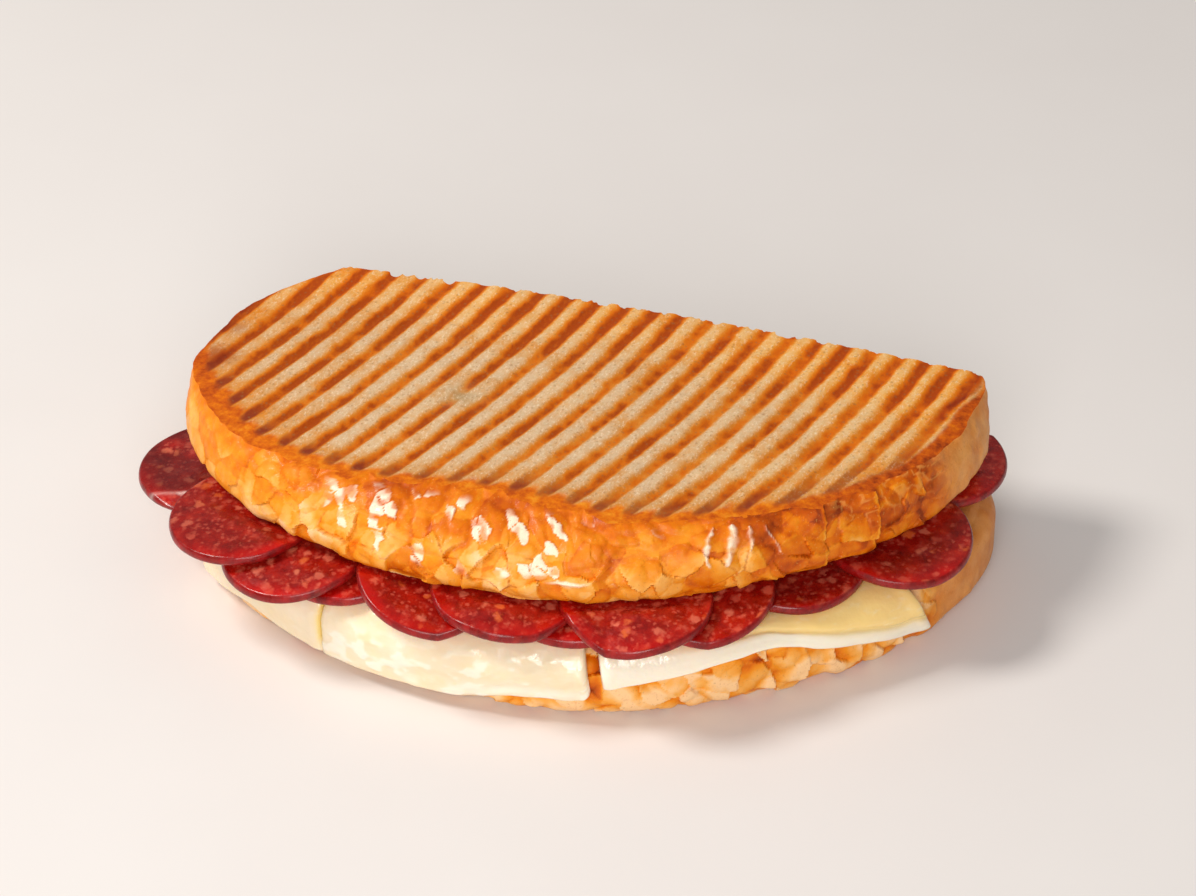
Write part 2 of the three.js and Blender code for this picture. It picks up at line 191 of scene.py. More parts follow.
def scatter(x, y, size, seed, score):
    """For each place, the scattered point near it with the best score: its offset in squares of
    the size, its own random number, and the best and the second best score."""
    shape = np.shape(x)
    first, second = np.full(shape, -9.0), np.full(shape, -9.0)
    dx, dy, own = np.zeros(shape), np.zeros(shape), np.zeros(shape)
    u, v = np.asarray(x) / size, np.asarray(y) / size
    for across in (-1, 0, 1):
        for up in (-1, 0, 1):
            i, j = np.floor(u) + across, np.floor(v) + up
            px = u - (i + 0.5 + 0.9 * (chance(i, j, seed) - 0.5))
            py = v - (j + 0.5 + 0.9 * (chance(i, j, seed + 1) - 0.5))
            value = score(px, py, i, j)
            better = value > first
            second = np.where(better, first, np.maximum(second, value))
            dx, dy = np.where(better, px, dx), np.where(better, py, dy)
            own = np.where(better, chance(i, j, seed + 2), own)
            first = np.where(better, value, first)
    return dx, dy, own, first, second


def cells(x, y, size, seed):
    """For each place, the nearest scattered point: its offset, its own random number, and how
    much farther off the second nearest is, which is 0 on the line between two cells."""
    dx, dy, own, first, second = scatter(x, y, size, seed, lambda px, py, i, j: -np.hypot(px, py))
    return dx * size, dy * size, own, (first - second) * size


def gems(x, y, size, seed, slope):
    """A creased surface of flat facets, like crumpled paper: its height, the number of each
    facet, and how far off the nearest crease is."""
    def facet(px, py, i, j):
        turn = 2 * math.pi * chance(i, j, seed + 3)
        height = 0.35 * chance(i, j, seed + 2) + px * np.cos(turn) + py * np.sin(turn)
        return height - 0.8 * (px * px + py * py)

    _, _, own, first, second = scatter(x, y, size, seed, facet)
    return first * slope * size, own, (first - second) * size


def plates(x, y, size, seed, slope):
    """Flat flakes with steps between them: height, number and distance to the edge, as gems."""
    dx, dy, own, edge = cells(x, y, size, seed)
    turn = 2 * math.pi * (37.7 * own % 1)
    return slope * (dx * np.cos(turn) + dy * np.sin(turn)), own, edge


# ---- meshes ----


def make_mesh(name, places, quads, tris=()):
    """A mesh object from places in millimetres and lists of corners."""
    quads = np.asarray(quads, dtype=np.int32).reshape(-1, 4)
    tris = np.asarray(tris, dtype=np.int32).reshape(-1, 3)
    mesh = bpy.data.meshes.new(name)
    mesh.vertices.add(len(places))
    mesh.vertices.foreach_set("co", (places * MM).astype(np.float32).ravel())
    corners = np.concatenate([quads.ravel(), tris.ravel()])
    starts = np.concatenate([np.arange(len(quads)) * 4, 4 * len(quads) + np.arange(len(tris)) * 3])
    mesh.loops.add(len(corners))
    mesh.loops.foreach_set("vertex_index", corners)
    mesh.polygons.add(len(starts))
    mesh.polygons.foreach_set("loop_start", starts.astype(np.int32))
    mesh.update(calc_edges=True)
    piece = bpy.data.objects.new(name, mesh)
    bpy.context.collection.objects.link(piece)
    return piece


def ring_mesh(name, rings, under, over):
    """A closed mesh of rings, each going round counter-clockwise, from a pole below to one above."""
    count, around = rings.shape[:2]
    here = np.arange(around)
    after = (here + 1) % around
    rows = (np.arange(count - 1) * around)[:, None]
    quads = np.stack([rows + here, rows + after, rows + around + after, rows + around + here], -1)
    low, high = count * around, count * around + 1
    last = (count - 1) * around
    tris = np.concatenate([
        np.stack([np.full(around, low), after, here], -1),
        np.stack([np.full(around, high), last + here, last + after], -1),
    ])
    return make_mesh(name, np.concatenate([rings.reshape(-1, 3), [under, over]]), quads, tris)


def grid_quads(rows, columns):
    r = (np.arange(rows - 1) * columns)[:, None]
    c = np.arange(columns - 1)
    return np.stack([r + c, r + c + 1, r + columns + c + 1, r + columns + c], -1).reshape(-1, 4)


def slab(name, front, axis, end):
    """A closed solid from a grid of places to where it ends along an axis. Seen from outside on
    the front, rows go up and columns go right."""
    back = front.copy()
    back[..., axis] = end
    rows, columns = front.shape[:2]
    quads = grid_quads(rows, columns)
    number = np.arange(rows * columns).reshape(rows, columns)
    loop = np.concatenate([number[0, :-1], number[:-1, -1], number[-1, :0:-1], number[:0:-1, 0]])
    ahead = np.roll(loop, -1)
    size = rows * columns
    walls = np.stack([loop, loop + size, ahead + size, ahead], -1)
    places = np.concatenate([front.reshape(-1, 3), back.reshape(-1, 3)])
    return make_mesh(name, places, np.concatenate([quads, quads[:, ::-1] + size, walls]))


def sheet_mesh(name, front, rear):
    """A closed mesh of two grids that share their border. The rear's own places come last."""
    rows, columns = front.shape[:2]
    inner = (rows - 2, columns - 2)
    rear_number = np.arange(rows * columns).reshape(rows, columns)
    rear_number[1:-1, 1:-1] = rows * columns + np.arange(inner[0] * inner[1]).reshape(inner)
    quads = grid_quads(rows, columns)
    behind = rear_number.ravel()[quads][:, ::-1]
    places = np.concatenate([front.reshape(-1, 3), rear[1:-1, 1:-1].reshape(-1, 3)])
    return make_mesh(name, places, np.concatenate([quads, behind])[:, ::-1])


def spots(piece):
    """The piece's places in millimetres."""
    flat = np.empty(len(piece.data.vertices) * 3, dtype=np.float32)
    piece.data.vertices.foreach_get("co", flat)
    return flat.reshape(-1, 3).astype(float) / MM


def set_values(piece, masks, last=()):
    """Gives each corner of the piece its value of each mask. The last corners get their own."""
    for name, values in masks.items():
        layer = piece.data.attributes.get(name) or piece.data.attributes.new(name, "FLOAT", "POINT")
        layer.data.foreach_set("value", np.append(values, last).astype(np.float32))


def get_values(piece, name):
    flat = np.empty(len(piece.data.vertices), dtype=np.float32)
    piece.data.attributes[name].data.foreach_get("value", flat)
    return flat


def carve(piece, *cutters):
    """Takes the cutters out of the piece. The new faces keep the cutters' materials."""
    for cutter in cutters:
        change = piece.modifiers.new("cut", "BOOLEAN")
        change.operation = "DIFFERENCE"
        change.solver = "MANIFOLD"
        change.material_mode = "TRANSFER"
        change.object = cutter
        shape = bpy.data.meshes.new_from_object(piece.evaluated_get(bpy.context.evaluated_depsgraph_get()))
        piece.modifiers.clear()
        piece.data = shape
        bpy.data.objects.remove(cutter)


def heal_crust(piece):
    """Corners that a cut made get the crust's masks of the nearest corner that was there before."""
    own = get_values(piece, "own") > 0.999
    where = spots(piece)
    kept, new = np.flatnonzero(own), np.flatnonzero(~own)
    tree = KDTree(len(kept))
    for i, place in zip(kept, where[kept]):
        tree.insert(place, int(i))
    tree.balance()
    source = np.array([tree.find(place)[1] for place in where[new]], dtype=int)
    for name in CRUST_MASKS:
        values = get_values(piece, name)
        values[new] = values[source]
        set_values(piece, {name: values})


def finish_piece(piece, node, angle):
    """Smooth shading, sharp only at edges steeper than the angle, and the piece's place."""
    piece.data.polygons.foreach_set("use_smooth", np.ones(len(piece.data.polygons), dtype=bool))
    piece.data.set_sharp_from_angle(angle=math.radians(angle))
    piece.data.update()
    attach(piece, "root")
    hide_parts(node)


# ---- the oval ----


def rim_point(centre, angle, inset):
    """The places of the oval at these angles in degrees, moved inwards by the inset."""
    along = OVAL_LENGTH / 2 * power(np.cos(np.radians(angle)), 2 / OVAL_POWER)
    across = OVAL_WIDTH / 2 * power(np.sin(np.radians(angle)), 2 / OVAL_POWER)
    nx = power(2 * along / OVAL_LENGTH, OVAL_POWER - 1) / OVAL_LENGTH
    ny = power(2 * across / OVAL_WIDTH, OVAL_POWER - 1) / OVAL_WIDTH
    size = np.hypot(nx, ny)
    x, y = along - inset * nx / size, across - inset * ny / size
    c, s = math.cos(OVAL_TURN), math.sin(OVAL_TURN)
    return x * c - y * s + centre[0], x * s + y * c + centre[1]


def oval_axes(centre, x, y):
    """How far a place is from the centre along the oval's length and width, in halves of them."""
    c, s = math.cos(OVAL_TURN), math.sin(OVAL_TURN)
    dx, dy = x - centre[0], y - centre[1]
    return 2 * (dx * c + dy * s) / OVAL_LENGTH, 2 * (dy * c - dx * s) / OVAL_WIDTH


def oval_share(centre, x, y):
    """How far out a place is: 1 on the rim, 0 at the centre."""
    along, across = oval_axes(centre, x, y)
    return (np.abs(along) ** OVAL_POWER + np.abs(across) ** OVAL_POWER) ** (1 / OVAL_POWER)


def rim_angle(centre, x, y):
    """The angle of the oval, in degrees from 90 to 450, on whose ray a place lies."""
    along, across = oval_axes(centre, x, y)
    turn = np.arctan2(power(across, OVAL_POWER / 2), power(along, OVAL_POWER / 2))
    return (np.degrees(turn) - 90) % 360 + 90


def rim_length(angle):
    """The distance in millimetres along the oval to an angle."""
    fine = np.linspace(0, 720, 7201)
    x, y = rim_point((0, 0), fine, 0)
    run = np.concatenate([[0], np.cumsum(np.hypot(np.diff(x), np.diff(y)))])
    return np.interp(angle, fine, run)


def rim_angles():
    """Angles round the oval, close together on the part that the cut leaves."""
    return np.concatenate([np.arange(118, 384, 0.25 * FINE), np.arange(386, 476, 4)])


def arc(low, high, step):
    """Even steps from low to high, both ends included."""
    return np.linspace(low, high, max(2, int(round((high - low) / (step * FINE))) + 1))[:, None]


# ---- bread ----


def underside(bread, y):
    """The height of a slice's lower side, which sags towards the cut on the upper slice."""
    return bread["base"] - bread["sag"] * smooth(*SAG_SPAN, y)


def top_height(x):
    return TOP["top"] - TOP["end_drop"] * ((x - TOP["centre"][0]) / TOP["end_reach"]) ** 2


def top_shoulder(angle):
    """The width of the rounded crust: widest in front, almost none at the ends of the cut."""
    width = SHOULDER["width"] + SHOULDER["front"] * hump(angle, SHOULDER["angle"], SHOULDER["spread"])
    return mix(width, SHOULDER["back"], np.maximum(smooth(192, 166, angle), smooth(352, 370, angle)))


def top_bulge(angle):
    """How far the end of the upper slice stands out past the oval."""
    return BULGE["size"] * hump(angle, BULGE["angle"], BULGE["spread"])


def face_edge(x, y):
    """How far a place of the pressed face is from the crust round it."""
    centre = TOP["centre"]
    slope_x = oval_share(centre, x + 0.5, y) - oval_share(centre, x - 0.5, y)
    slope_y = oval_share(centre, x, y + 0.5) - oval_share(centre, x, y - 0.5)
    inset = (1 - oval_share(centre, x, y)) / np.maximum(np.hypot(slope_x, slope_y), 1e-3)
    angle = rim_angle(centre, x, y)
    return inset - top_shoulder(angle) + top_bulge(angle)


def groove_x(k, y):
    off = y - GROOVE["y"]
    slope = GROOVE["slope"] - GROOVE["slope_loss"] * k
    start = GROOVE["x"] + GROOVE["pitch"] * k - GROOVE["loss"] * k * k
    return start + slope * off - GROOVE["bow"] * off * off


def groove_offset(x, y):
    """The distance to the nearest groove's middle, and that groove's number."""
    best, number = np.full(np.shape(x), 99.0), np.zeros(np.shape(x))
    for k in range(GROOVES[0] - 1, GROOVES[-1] + 2):
        off = x - groove_x(k, y)
        near = np.abs(off) < np.abs(best)
        best, number = np.where(near, off, best), np.where(near, k, number)
    return best, number


def press_height(x, y):
    """The face that the press leaves: grooves that run out at the crust, and a fine texture."""
    off = groove_offset(x, y)[0]
    sink = 1 - smooth(0.4, 2.6, np.abs(off - 0.2 + 0.3 * noise(x, y, 9, 5)))
    depth = GROOVE_DEPTH * mix(0.15, 1, smooth(1, 9, face_edge(x, y))) * (0.85 + 0.3 * noise(x, y, 14, 9))
    depth = depth * mix(1, 0.6, smooth(CUT_Y - 14, CUT_Y, y))
    texture = 0.09 * noise(x, y, 1.5, 6, 2) + 0.14 * noise(x, y, 5, 8)
    return top_height(x) - depth * sink + texture * (1 - 0.5 * sink) - 0.22


def press():
    """The plate whose ribs flatten and groove the top."""
    steps = np.linspace(-0.5, 0.5, max(7, int(18 / FINE)), endpoint=False)
    lanes = (np.array(GROOVES)[:, None] + steps).reshape(1, -1)
    y = np.arange(-58, CUT_Y + 8, 0.8 * FINE)[:, None]
    x = groove_x(lanes, y)
    low = np.stack([x, y + 0 * x, press_height(x, y)], -1)
    plate = slab("press", low[::-1], 2, TOP["top"] + 20)
    wear(plate, "pressed")
    return plate


def knife(x, z, depth, material):
    """The knife's cut, which takes away all behind it and goes a depth into what stays."""
    front = np.stack([x + 0 * z, CUT_Y - depth, z + 0 * x], -1)
    block = slab("knife", front, 1, CUT_Y + 60)
    wear(block, material)
    return block


def crumb_holes(x, z, seed):
    """How deep the holes of the crumb go at a place on a cut face."""
    depth = np.zeros(np.broadcast(x, z).shape)
    warped_x = x + 0.8 * noise(x, z, 3, seed + 40)
    warped_z = z + 0.5 * noise(x, z, 3, seed + 41)
    for size, radius, share in HOLES:
        dx, dz, own, _ = cells(warped_x, warped_z * 1.25, size, seed + int(10 * size))
        reach = radius * (0.45 + 0.55 * own)
        bowl = np.sqrt(np.clip(reach ** 2 - dx ** 2 - dz ** 2, 0, None))
        depth = np.maximum(depth, np.where(own > 1 - share, bowl, 0))
    return depth + 0.10 * noise(x, z, 1.2, seed + 3, 2) + 0.18 * noise(x, z, 9, seed + 4)


def crumb_knife(bread):
    """The cut through a slice of bread, opened up by the holes of its crumb."""
    x = np.arange(*CUT_SPAN, CRUMB_STEP)[None]
    z = np.arange(*bread["cut"], CRUMB_STEP)[:, None]
    return knife(x, z, np.maximum(crumb_holes(x, z, bread["seed"]), 0) + 0.02, "crumb")


def plain_knife(seed, material):
    """The cut through cheese and sausage."""
    x = np.arange(*CUT_SPAN, 1.0)[None]
    z = np.arange(10, 40, 1.0)[:, None]
    return knife(x, z, 0.06 + 0.05 * noise(x, z, 6, seed), material)


def normals_of(grid):
    """The outward directions of a grid of rings that go round counter-clockwise and up."""
    around = np.roll(grid, -1, 1) - np.roll(grid, 1, 1)
    out = np.cross(around, np.gradient(grid, axis=0))
    return out / np.maximum(np.linalg.norm(out, axis=-1, keepdims=True), 1e-9)


def streak(s, t, angle, lean, low, high, width, bow):
    """A thin upright ridge at an angle of the rim, bowed to one side and thinner at its ends."""
    share = np.clip((t - low + 1) / (high - low + 2), 0, 1)
    middle = 4 * share * (1 - share)
    off = s - rim_length(angle) + lean * (t - low) + bow * middle + 0.7 * noise(s, t, 2.6, 12, 2)
    return hump(off, 0, width * (0.35 + 0.65 * middle)) * smooth(0, 0.15, middle)


def torn_edge(s, t, angle, lean):
    """Skin that rises slowly towards a ragged upright edge and falls off behind it, and its lip."""
    off = s - rim_length(angle) + lean * t + 1.3 * noise(s, t, 5, 13, 3)
    return smooth(-7, -0.2, off) * smooth(0.25, -0.1, off), smooth(-1.3, -0.5, off) * smooth(0.1, -0.1, off)


def top_crust(angle, t, rise):
    """The crust of the top slice: its relief in millimetres and the masks that colour it, with painted
    highlights on its chips, ridges and hem line, and painted shade along its facets.
    """
    s = rim_length(angle) + 0 * t
    ws, wt = s + 1.6 * noise(s, t, 6, 18, 2), t + 1.6 * noise(s, t, 6, 19, 2)

    # stretches of the rim, and heights on it
    left, end = smooth(222, 206, angle), smooth(329, 339, angle)
    middle = smooth(222, 234, angle) * smooth(287, 279, angle)
    right = smooth(292, 304, angle) * smooth(342, 332, angle)
    high, low = smooth(0.55, 0.8, rise), smooth(0.55, 0.35, rise)
    belt = middle * smooth(0.16, 0.3, rise) * smooth(0.78, 0.62, rise)
    paper = (1 - 0.75 * left) * (1 - 0.9 * end)

    # crumpled skin, flakes, and the ridges and tears that stand out
    big, big_own, big_edge = gems(ws, wt, 9, 21, 0.2)
    mid, mid_own, _ = gems(ws, wt, 4.3, 22, 0.26)
    tiny = gems(s, t, 2.0, 23, 0.3)[0]
    flat, flat_own, flat_edge = plates(ws, wt, 8, 24, 0.13)
    chip, chip_own, chip_edge = plates(ws + 0.4 * wt + 0.5 * noise(s, t, 1.3, 39), wt * 0.85, 3.4, 25, 0.12)
    # crisp chips in the belt are raised, and painted near-white as highlights
    crisp = belt * smooth(0.77, 0.79, chip_own) * smooth(0.1, 0.4, chip_edge)
    crisp = crisp * (0.65 + 0.35 * np.clip(2 * noise(s, t, 1.8, 31), -1, 1))
    ridge = sum(strength * streak(s, t, *place) for strength, *place in RIDGES)
    hem = hump(t - 8.6 - 1.1 * noise(s, 0 * s, 3.5, 15, 2), 0, 0.5) * hump(s - rim_length(269), 0, 4.5)
    skins, lips = zip(*(torn_edge(s, t, *place) for place in TEARS))
    torn = skins[0] + skins[1] + 0.7 * skins[2] * low
    lip = np.clip(lips[0] + lips[1] + 0.6 * lips[2] * low, 0, 1) * smooth(0.95, 0.8, rise)
    web = smooth(0.13, 0.03, np.abs(noise(ws, wt * 0.8, 3.4, 29, 2)))
    veins = web * right * smooth(0.2, 0.45, rise) * smooth(309, 314, angle)
    broken = smooth(-0.3, 0.1, noise(s, t, 4, 37)) * paper
    crack = smooth(0.6, 0.1, flat_edge) * smooth(0.4, 0.5, flat_own) * low * broken
    crease = smooth(0.7, 0.2, big_edge) * smooth(0.3, 0.5, big_own) * (1 - high) * broken
    crack = np.maximum(crack, 0.5 * crease)

    relief = paper * (1 - 0.5 * right) * (big + 0.75 * mid * (1 - 0.6 * low)) + 1.1 * low * paper * flat
    relief = relief + 0.4 * crisp + 0.7 * belt * chip + 0.3 * (1 - 0.6 * left) * (1 - end) * (1 - low) * tiny
    relief = relief + 0.9 * right * torn + 0.8 * ridge + 0.6 * hem + 0.07 * veins - 0.3 * crack
    relief = relief + 0.35 * (left + end) * noise(s, t, 12, 27, 2) + 0.3 * left * mid
    relief = relief + 0.3 * end * noise(s, t, 4, 26) + 0.05 * noise(s, t, 1.1, 28, 2)

    bake = 0.55 + 0.08 * noise(s, t, 7, 30, 2) + 0.12 * high + 0.16 * high * noise(s, t, 3.5, 38, 3)
    # paler at the high end of each plate and facet and more orange at the low end: painted shade along their
    # slopes
    bake = bake - 0.22 * low * (1 - 0.6 * right) * smooth(0.2, 0.5, flat_own) - 0.25 * flat * low * paper
    bake = bake - 0.18 * mid * (1 - high) * paper + 0.22 * (mid_own - 0.5) * paper * (1 - 0.5 * high)
    bake = bake + 0.20 * (big_own - 0.5) * paper + 0.10 * (chip_own - 0.5) * middle
    bake = bake + 0.05 * noise(s, t * 0.3, 2.2, 33, 2) + 0.24 * right + 0.16 * right * noise(s, t, 2.6, 34, 2)
    # the lips of the torn edges are painted paler: painted highlight
    bake = bake - 0.05 * left * (1 - high) - 0.05 * end + 0.08 * hump(angle, 285, 10) - 0.25 * lip
    # the strong ridges and the hem line are painted near-white: painted highlight
    ridge_highlight = ridge * (0.75 + 0.6 * noise(s, t, 1.5, 35, 2))
    flake_highlight = np.clip(np.maximum(np.maximum(crisp, ridge_highlight), hem), 0, 1)
    return relief, {"bake": bake, "flake_highlight": flake_highlight, "crack": crack, "veins": veins, "tan": end}


def bottom_crust(angle, t, rise):
    """The crust of the bottom slice, as top_crust gives it."""
    s = rim_length(angle) + 0 * t
    ws, wt = s + 0.9 * noise(s, t, 6, 48, 2), t + 0.9 * noise(s, t, 6, 49, 2)
    end = smooth(325, 333, angle)
    paper = 1 - 0.9 * end
    big, big_own, _ = gems(ws + 0.7 * wt, wt, 8.5, 51, 0.27)
    mid, mid_own, _ = gems(ws - 0.5 * wt, wt, 4.8, 52, 0.3)
    flat, flat_own, flat_edge = plates(ws + 0.5 * wt, wt * 0.8, 6.5, 53, 0.14)
    broken = smooth(-0.2, 0.2, noise(s, t, 4, 57)) * paper
    crack = 0.5 * smooth(0.5, 0.1, flat_edge) * smooth(0.35, 0.45, flat_own) * broken
    relief = paper * (big + 0.6 * mid + 1.1 * flat) + 0.4 * end * noise(s, t, 7, 54, 2)
    relief = relief + 0.05 * noise(s, t, 1.1, 55, 2) - 0.3 * crack

    # the crust is darker where the slot between two sheets of cheese bares it
    slot = smooth(1.9, 1.2, np.abs(angle - 271.9)) * smooth(0.22, 0.4, rise)
    bake = 0.19 + 0.06 * noise(s, t, 8, 56, 2) + 0.22 * (big_own - 0.5) * paper
    bake = bake + 0.14 * (flat_own - 0.5) * paper + 0.10 * (mid_own - 0.5) * paper
    # paler at the high end of each plate and facet and more orange at the low end: painted shade along their
    # slopes
    bake = bake - 0.6 * flat * paper - 0.3 * mid * paper
    bake = bake + 0.4 * slot + 0.15 * end + 0.2 * smooth(284, 304, angle)
    return relief, {"bake": bake, "flake_highlight": 0 * bake, "crack": crack, "veins": 0 * bake, "tan": end}


def dress_slice(name, bread, bands, crust, crust_rows, limit, crown):
    """A slice of bread from bands of rings: their insets, heights, and shares of the way out.
    From the first crust row, counted from the flat underside, to the last, counted from above,
    the relief lies along the outward direction, and reaches out past the oval by the limit. The
    pole above is higher than the slice by the crown."""
    angle = rim_angles()
    cx, cy = bread["centre"]
    insets = np.concatenate([inset + 0 * share * angle for inset, _, share in bands])
    level = np.concatenate([height + 0 * share for _, height, share in bands])
    shares = np.concatenate([share for _, _, share in bands])
    x, y = rim_point(bread["centre"], angle[None], insets)
    x, y = mix(cx, x, shares), mix(cy, y, shares)
    grid = np.stack([x, y, np.where(level <= bread["base"], underside(bread, y), level)], -1)
    first, last = len(FLAT_SHARES) + crust_rows[0], len(level) + crust_rows[1]
    front = grid[:, np.abs(angle - FRONT_ANGLE).argmin()]
    run = np.concatenate([[0], np.cumsum(np.linalg.norm(np.diff(front, axis=0), axis=-1))])
    t = (run - run[first])[:, None] + 0 * angle[None]
    rise = np.clip(t / (run[last] - run[first]), 0, 1.2)
    relief, masks = crust(angle[None] + 0 * t, t, rise)
    fade = np.zeros(len(run))
    fade[first:last + 1] = 1
    fade = np.clip(np.convolve(np.pad(fade, 3, mode="edge"), np.ones(7) / 7, mode="valid"), 0, 1)[:, None]
    shown = relief[first:last, np.abs(angle - FRONT_ANGLE) < 60]
    lift = np.clip(relief - np.percentile(shown, 60) - 0.35, -1.3, limit)
    grid = grid + normals_of(grid) * (lift * fade)[..., None]
    piece = ring_mesh(name, grid, (cx, cy, underside(bread, cy)), (cx, cy, bread["top"] + crown))
    set_values(piece, masks, (0.5, 0.5))
    set_values(piece, {"own": np.ones(relief.size)}, (1, 1))
    wear(piece, "crust")
    return piece


def finish_bread(piece, bread, node):
    """The last steps for a slice of bread that is cut."""
    heal_crust(piece)
    colour_crumb(piece, bread)
    finish_piece(piece, node, 38)


def bread_bottom():
    edge, lift = BOTTOM["edge"], BOTTOM["edge_height"]
    shoulder, drop, top = BOTTOM["shoulder"], BOTTOM["shoulder_height"], BOTTOM["top"]
    low, high = arc(0, math.pi / 2, 0.06), arc(0, math.pi / 2, 0.055)
    wall = arc(lift, top - drop, 0.42)[1:-1]
    flat = FLAT_SHARES
    bands = (
        (edge, 0, flat),
        (edge * (1 - np.sin(low)), lift * (1 - np.cos(low)), 1 + 0 * low),
        (0, wall, 1 + 0 * wall),
        (shoulder * (1 - np.cos(high)), top - drop * (1 - np.sin(high)), 1 + 0 * high),
        (shoulder, top, flat[::-1]),
    )
    piece = dress_slice("toast_bottom", BOTTOM, bands, bottom_crust, (5, -4 - len(flat)), 0.0, 0)
    carve(piece, crumb_knife(BOTTOM))
    finish_bread(piece, BOTTOM, "bread_bottom")


def bread_top():
    edge, base, full = TOP["edge"], TOP["base"], SHOULDER["sweep"]
    width, bulge = top_shoulder(rim_angles()), top_bulge(rim_angles())
    sweep = arc(0, math.pi / 2, 0.09)
    # shares of the shoulder's sweep, on past the face to where the press cuts it off
    part = arc(0, 1.22, 0.019)[1:]
    climb = np.sin(part * full) / math.sin(full)
    foot = edge * (1 - np.sin(sweep)) - bulge * np.sin(sweep)
    crown = width * (1 - np.cos(part * full)) / (1 - math.cos(full)) - bulge
    bands = (
        (edge, base, FLAT_SHARES),
        (foot, base + edge * (1 - np.cos(sweep)), 1 + 0 * sweep),
        (crown, mix(base + edge, TOP["top"], climb), 1 + 0 * part),
    )
    piece = dress_slice("toast_top", TOP, bands, top_crust, (3, -1), 0.6, 4)
    carve(piece, press(), crumb_knife(TOP))
    colour_face(piece)
    finish_bread(piece, TOP, "bread_top")


def press_marks(x, y, off, number):
    """How dark the press's marks are, how brown the face is in all, and a grey smudge on it."""
    width = 1 + 0.18 * noise(x, y, 13, 61, 2) + 0.10 * noise(number * 50, y, 20, 62)
    width = width + 0.12 * smooth(15, 50, y)
    dark = np.where(off > 0.2, smooth(2.2, 0.5, off / width), smooth(-3.9, -0.2, off / width) ** 1.4)
    weak = 0.88 + 0.34 * noise(x, y, 12, 63, 3) + 0.16 * noise(x, y, 2.0, 65, 2)
    weak = weak + 0.1 * noise(number * 37, y, 15, 64)
    weak = weak - 0.13 * smooth(-60, 20, x) * smooth(45, 15, y) - 0.09 * smooth(10, 70, x)
    pale = 0.16 * smooth(0.0, 0.5, noise(x, y, 8, 74, 3)) + 0.10 * smooth(0.1, 0.6, noise(x, y, 2.4, 75, 2))
    pale = pale + 0.14 * smooth(-40, -85, x) * (1 + 0.8 * noise(x, y, 5, 76, 2)) + 0.10 * smooth(20, 50, y)
    smudge = hump(np.hypot(x + 27, (y - 9) * 1.3), 0, 5.5) * (0.7 + 0.5 * noise(x, y, 3, 66))
    brown = np.clip(dark * weak * (1 - 0.8 * smudge) + 0.06 * noise(x, y, 3, 67, 2) + pale, 0, 1)
    return dark, brown, smudge


def burnt(x, y, edge, angle):
    """Burnt places of the face: along its left and right ends, and two spots."""
    left = smooth(1.7, 0.4, edge + 0.5 * noise(x, y, 4, 70))
    left = left * smooth(168, 163, angle) * smooth(144, 148, angle)
    spot = hump(np.hypot((x + 94) * 0.8, y - 12.5), 0, 4.5)
    spot = spot + 0.6 * hump(np.hypot((x + 93) * 0.8, y - 25), 0, 3)
    line = mix(4.4, 1.6, smooth(352, 372, angle))
    right = hump(edge + 0.4 * noise(x, y, 5, 77, 2), line, 1.3) * smooth(340, 352, angle)
    return left + 0.75 * spot + 0.7 * right


def colour_face(piece):
    """The masks of the pressed face, from where each corner lies."""
    x, y, _ = spots(piece).T
    off, number = groove_offset(x, y)
    off = off + 0.35 * noise(x, y, 6, 60, 2)
    edge = face_edge(x, y)
    angle = rim_angle(TOP["centre"], x, y)
    dark, brown, smudge = press_marks(x, y, off, number)

    # the crust climbs onto the face in teeth between the grooves' rounded ends
    reach = 2.2 + 2.4 * smooth(0.9, 3.2, np.abs(off)) + 0.9 * noise(x, y, 3.5, 68, 2)
    reach = reach * mix(1, 0.35, smooth(298, 318, angle)) * smooth(368, 352, angle) * smooth(160, 178, angle)
    near = smooth(reach + 10, reach + 1, edge) * smooth(160, 178, angle) * smooth(345, 325, angle)
    masks = {
        "brown": brown + (0.2 * near + 0.05 * smooth(20, 4, edge)) * (1 - dark),
        "grey": smudge,
        "ends": near * smooth(0.25, 0.7, dark) * (0.75 + 0.35 * noise(x, y, 2.5, 69, 2)),
        "lap": smooth(reach + 1.5, reach - 1.0, edge + 0.5 * noise(x, y, 1.4, 73, 2)),
        "lap_bake": 0.08 + 0.2 * smooth(298, 325, angle) + 0.1 * smooth(215, 190, angle),
        "burn": burnt(x, y, edge, angle),
        "warm": 0.75 * smooth(24, 52, y) + 0.55 * smooth(20, 80, x) + 0.2 * noise(x, y, 18, 72),
    }
    set_values(piece, {mask: np.clip(values, 0, 1) for mask, values in masks.items()})


def colour_crumb(piece, bread):
    """The masks of the cut face: the depth of the holes, which is painted as shade, and the rind that the
    crust leaves.
    """
    x, y, z = spots(piece).T
    rind = np.minimum(z - bread["base"], bread["top"] - z)
    rind = np.minimum(rind, (1 - oval_share(bread["centre"], x, y)) * 70)
    set_values(piece, {"hole_shade": np.clip((CUT_Y - y - 0.3) / 2.2, 0, 1), "rind": smooth(2.2, 0.3, rind)})


# ---- cheese ----


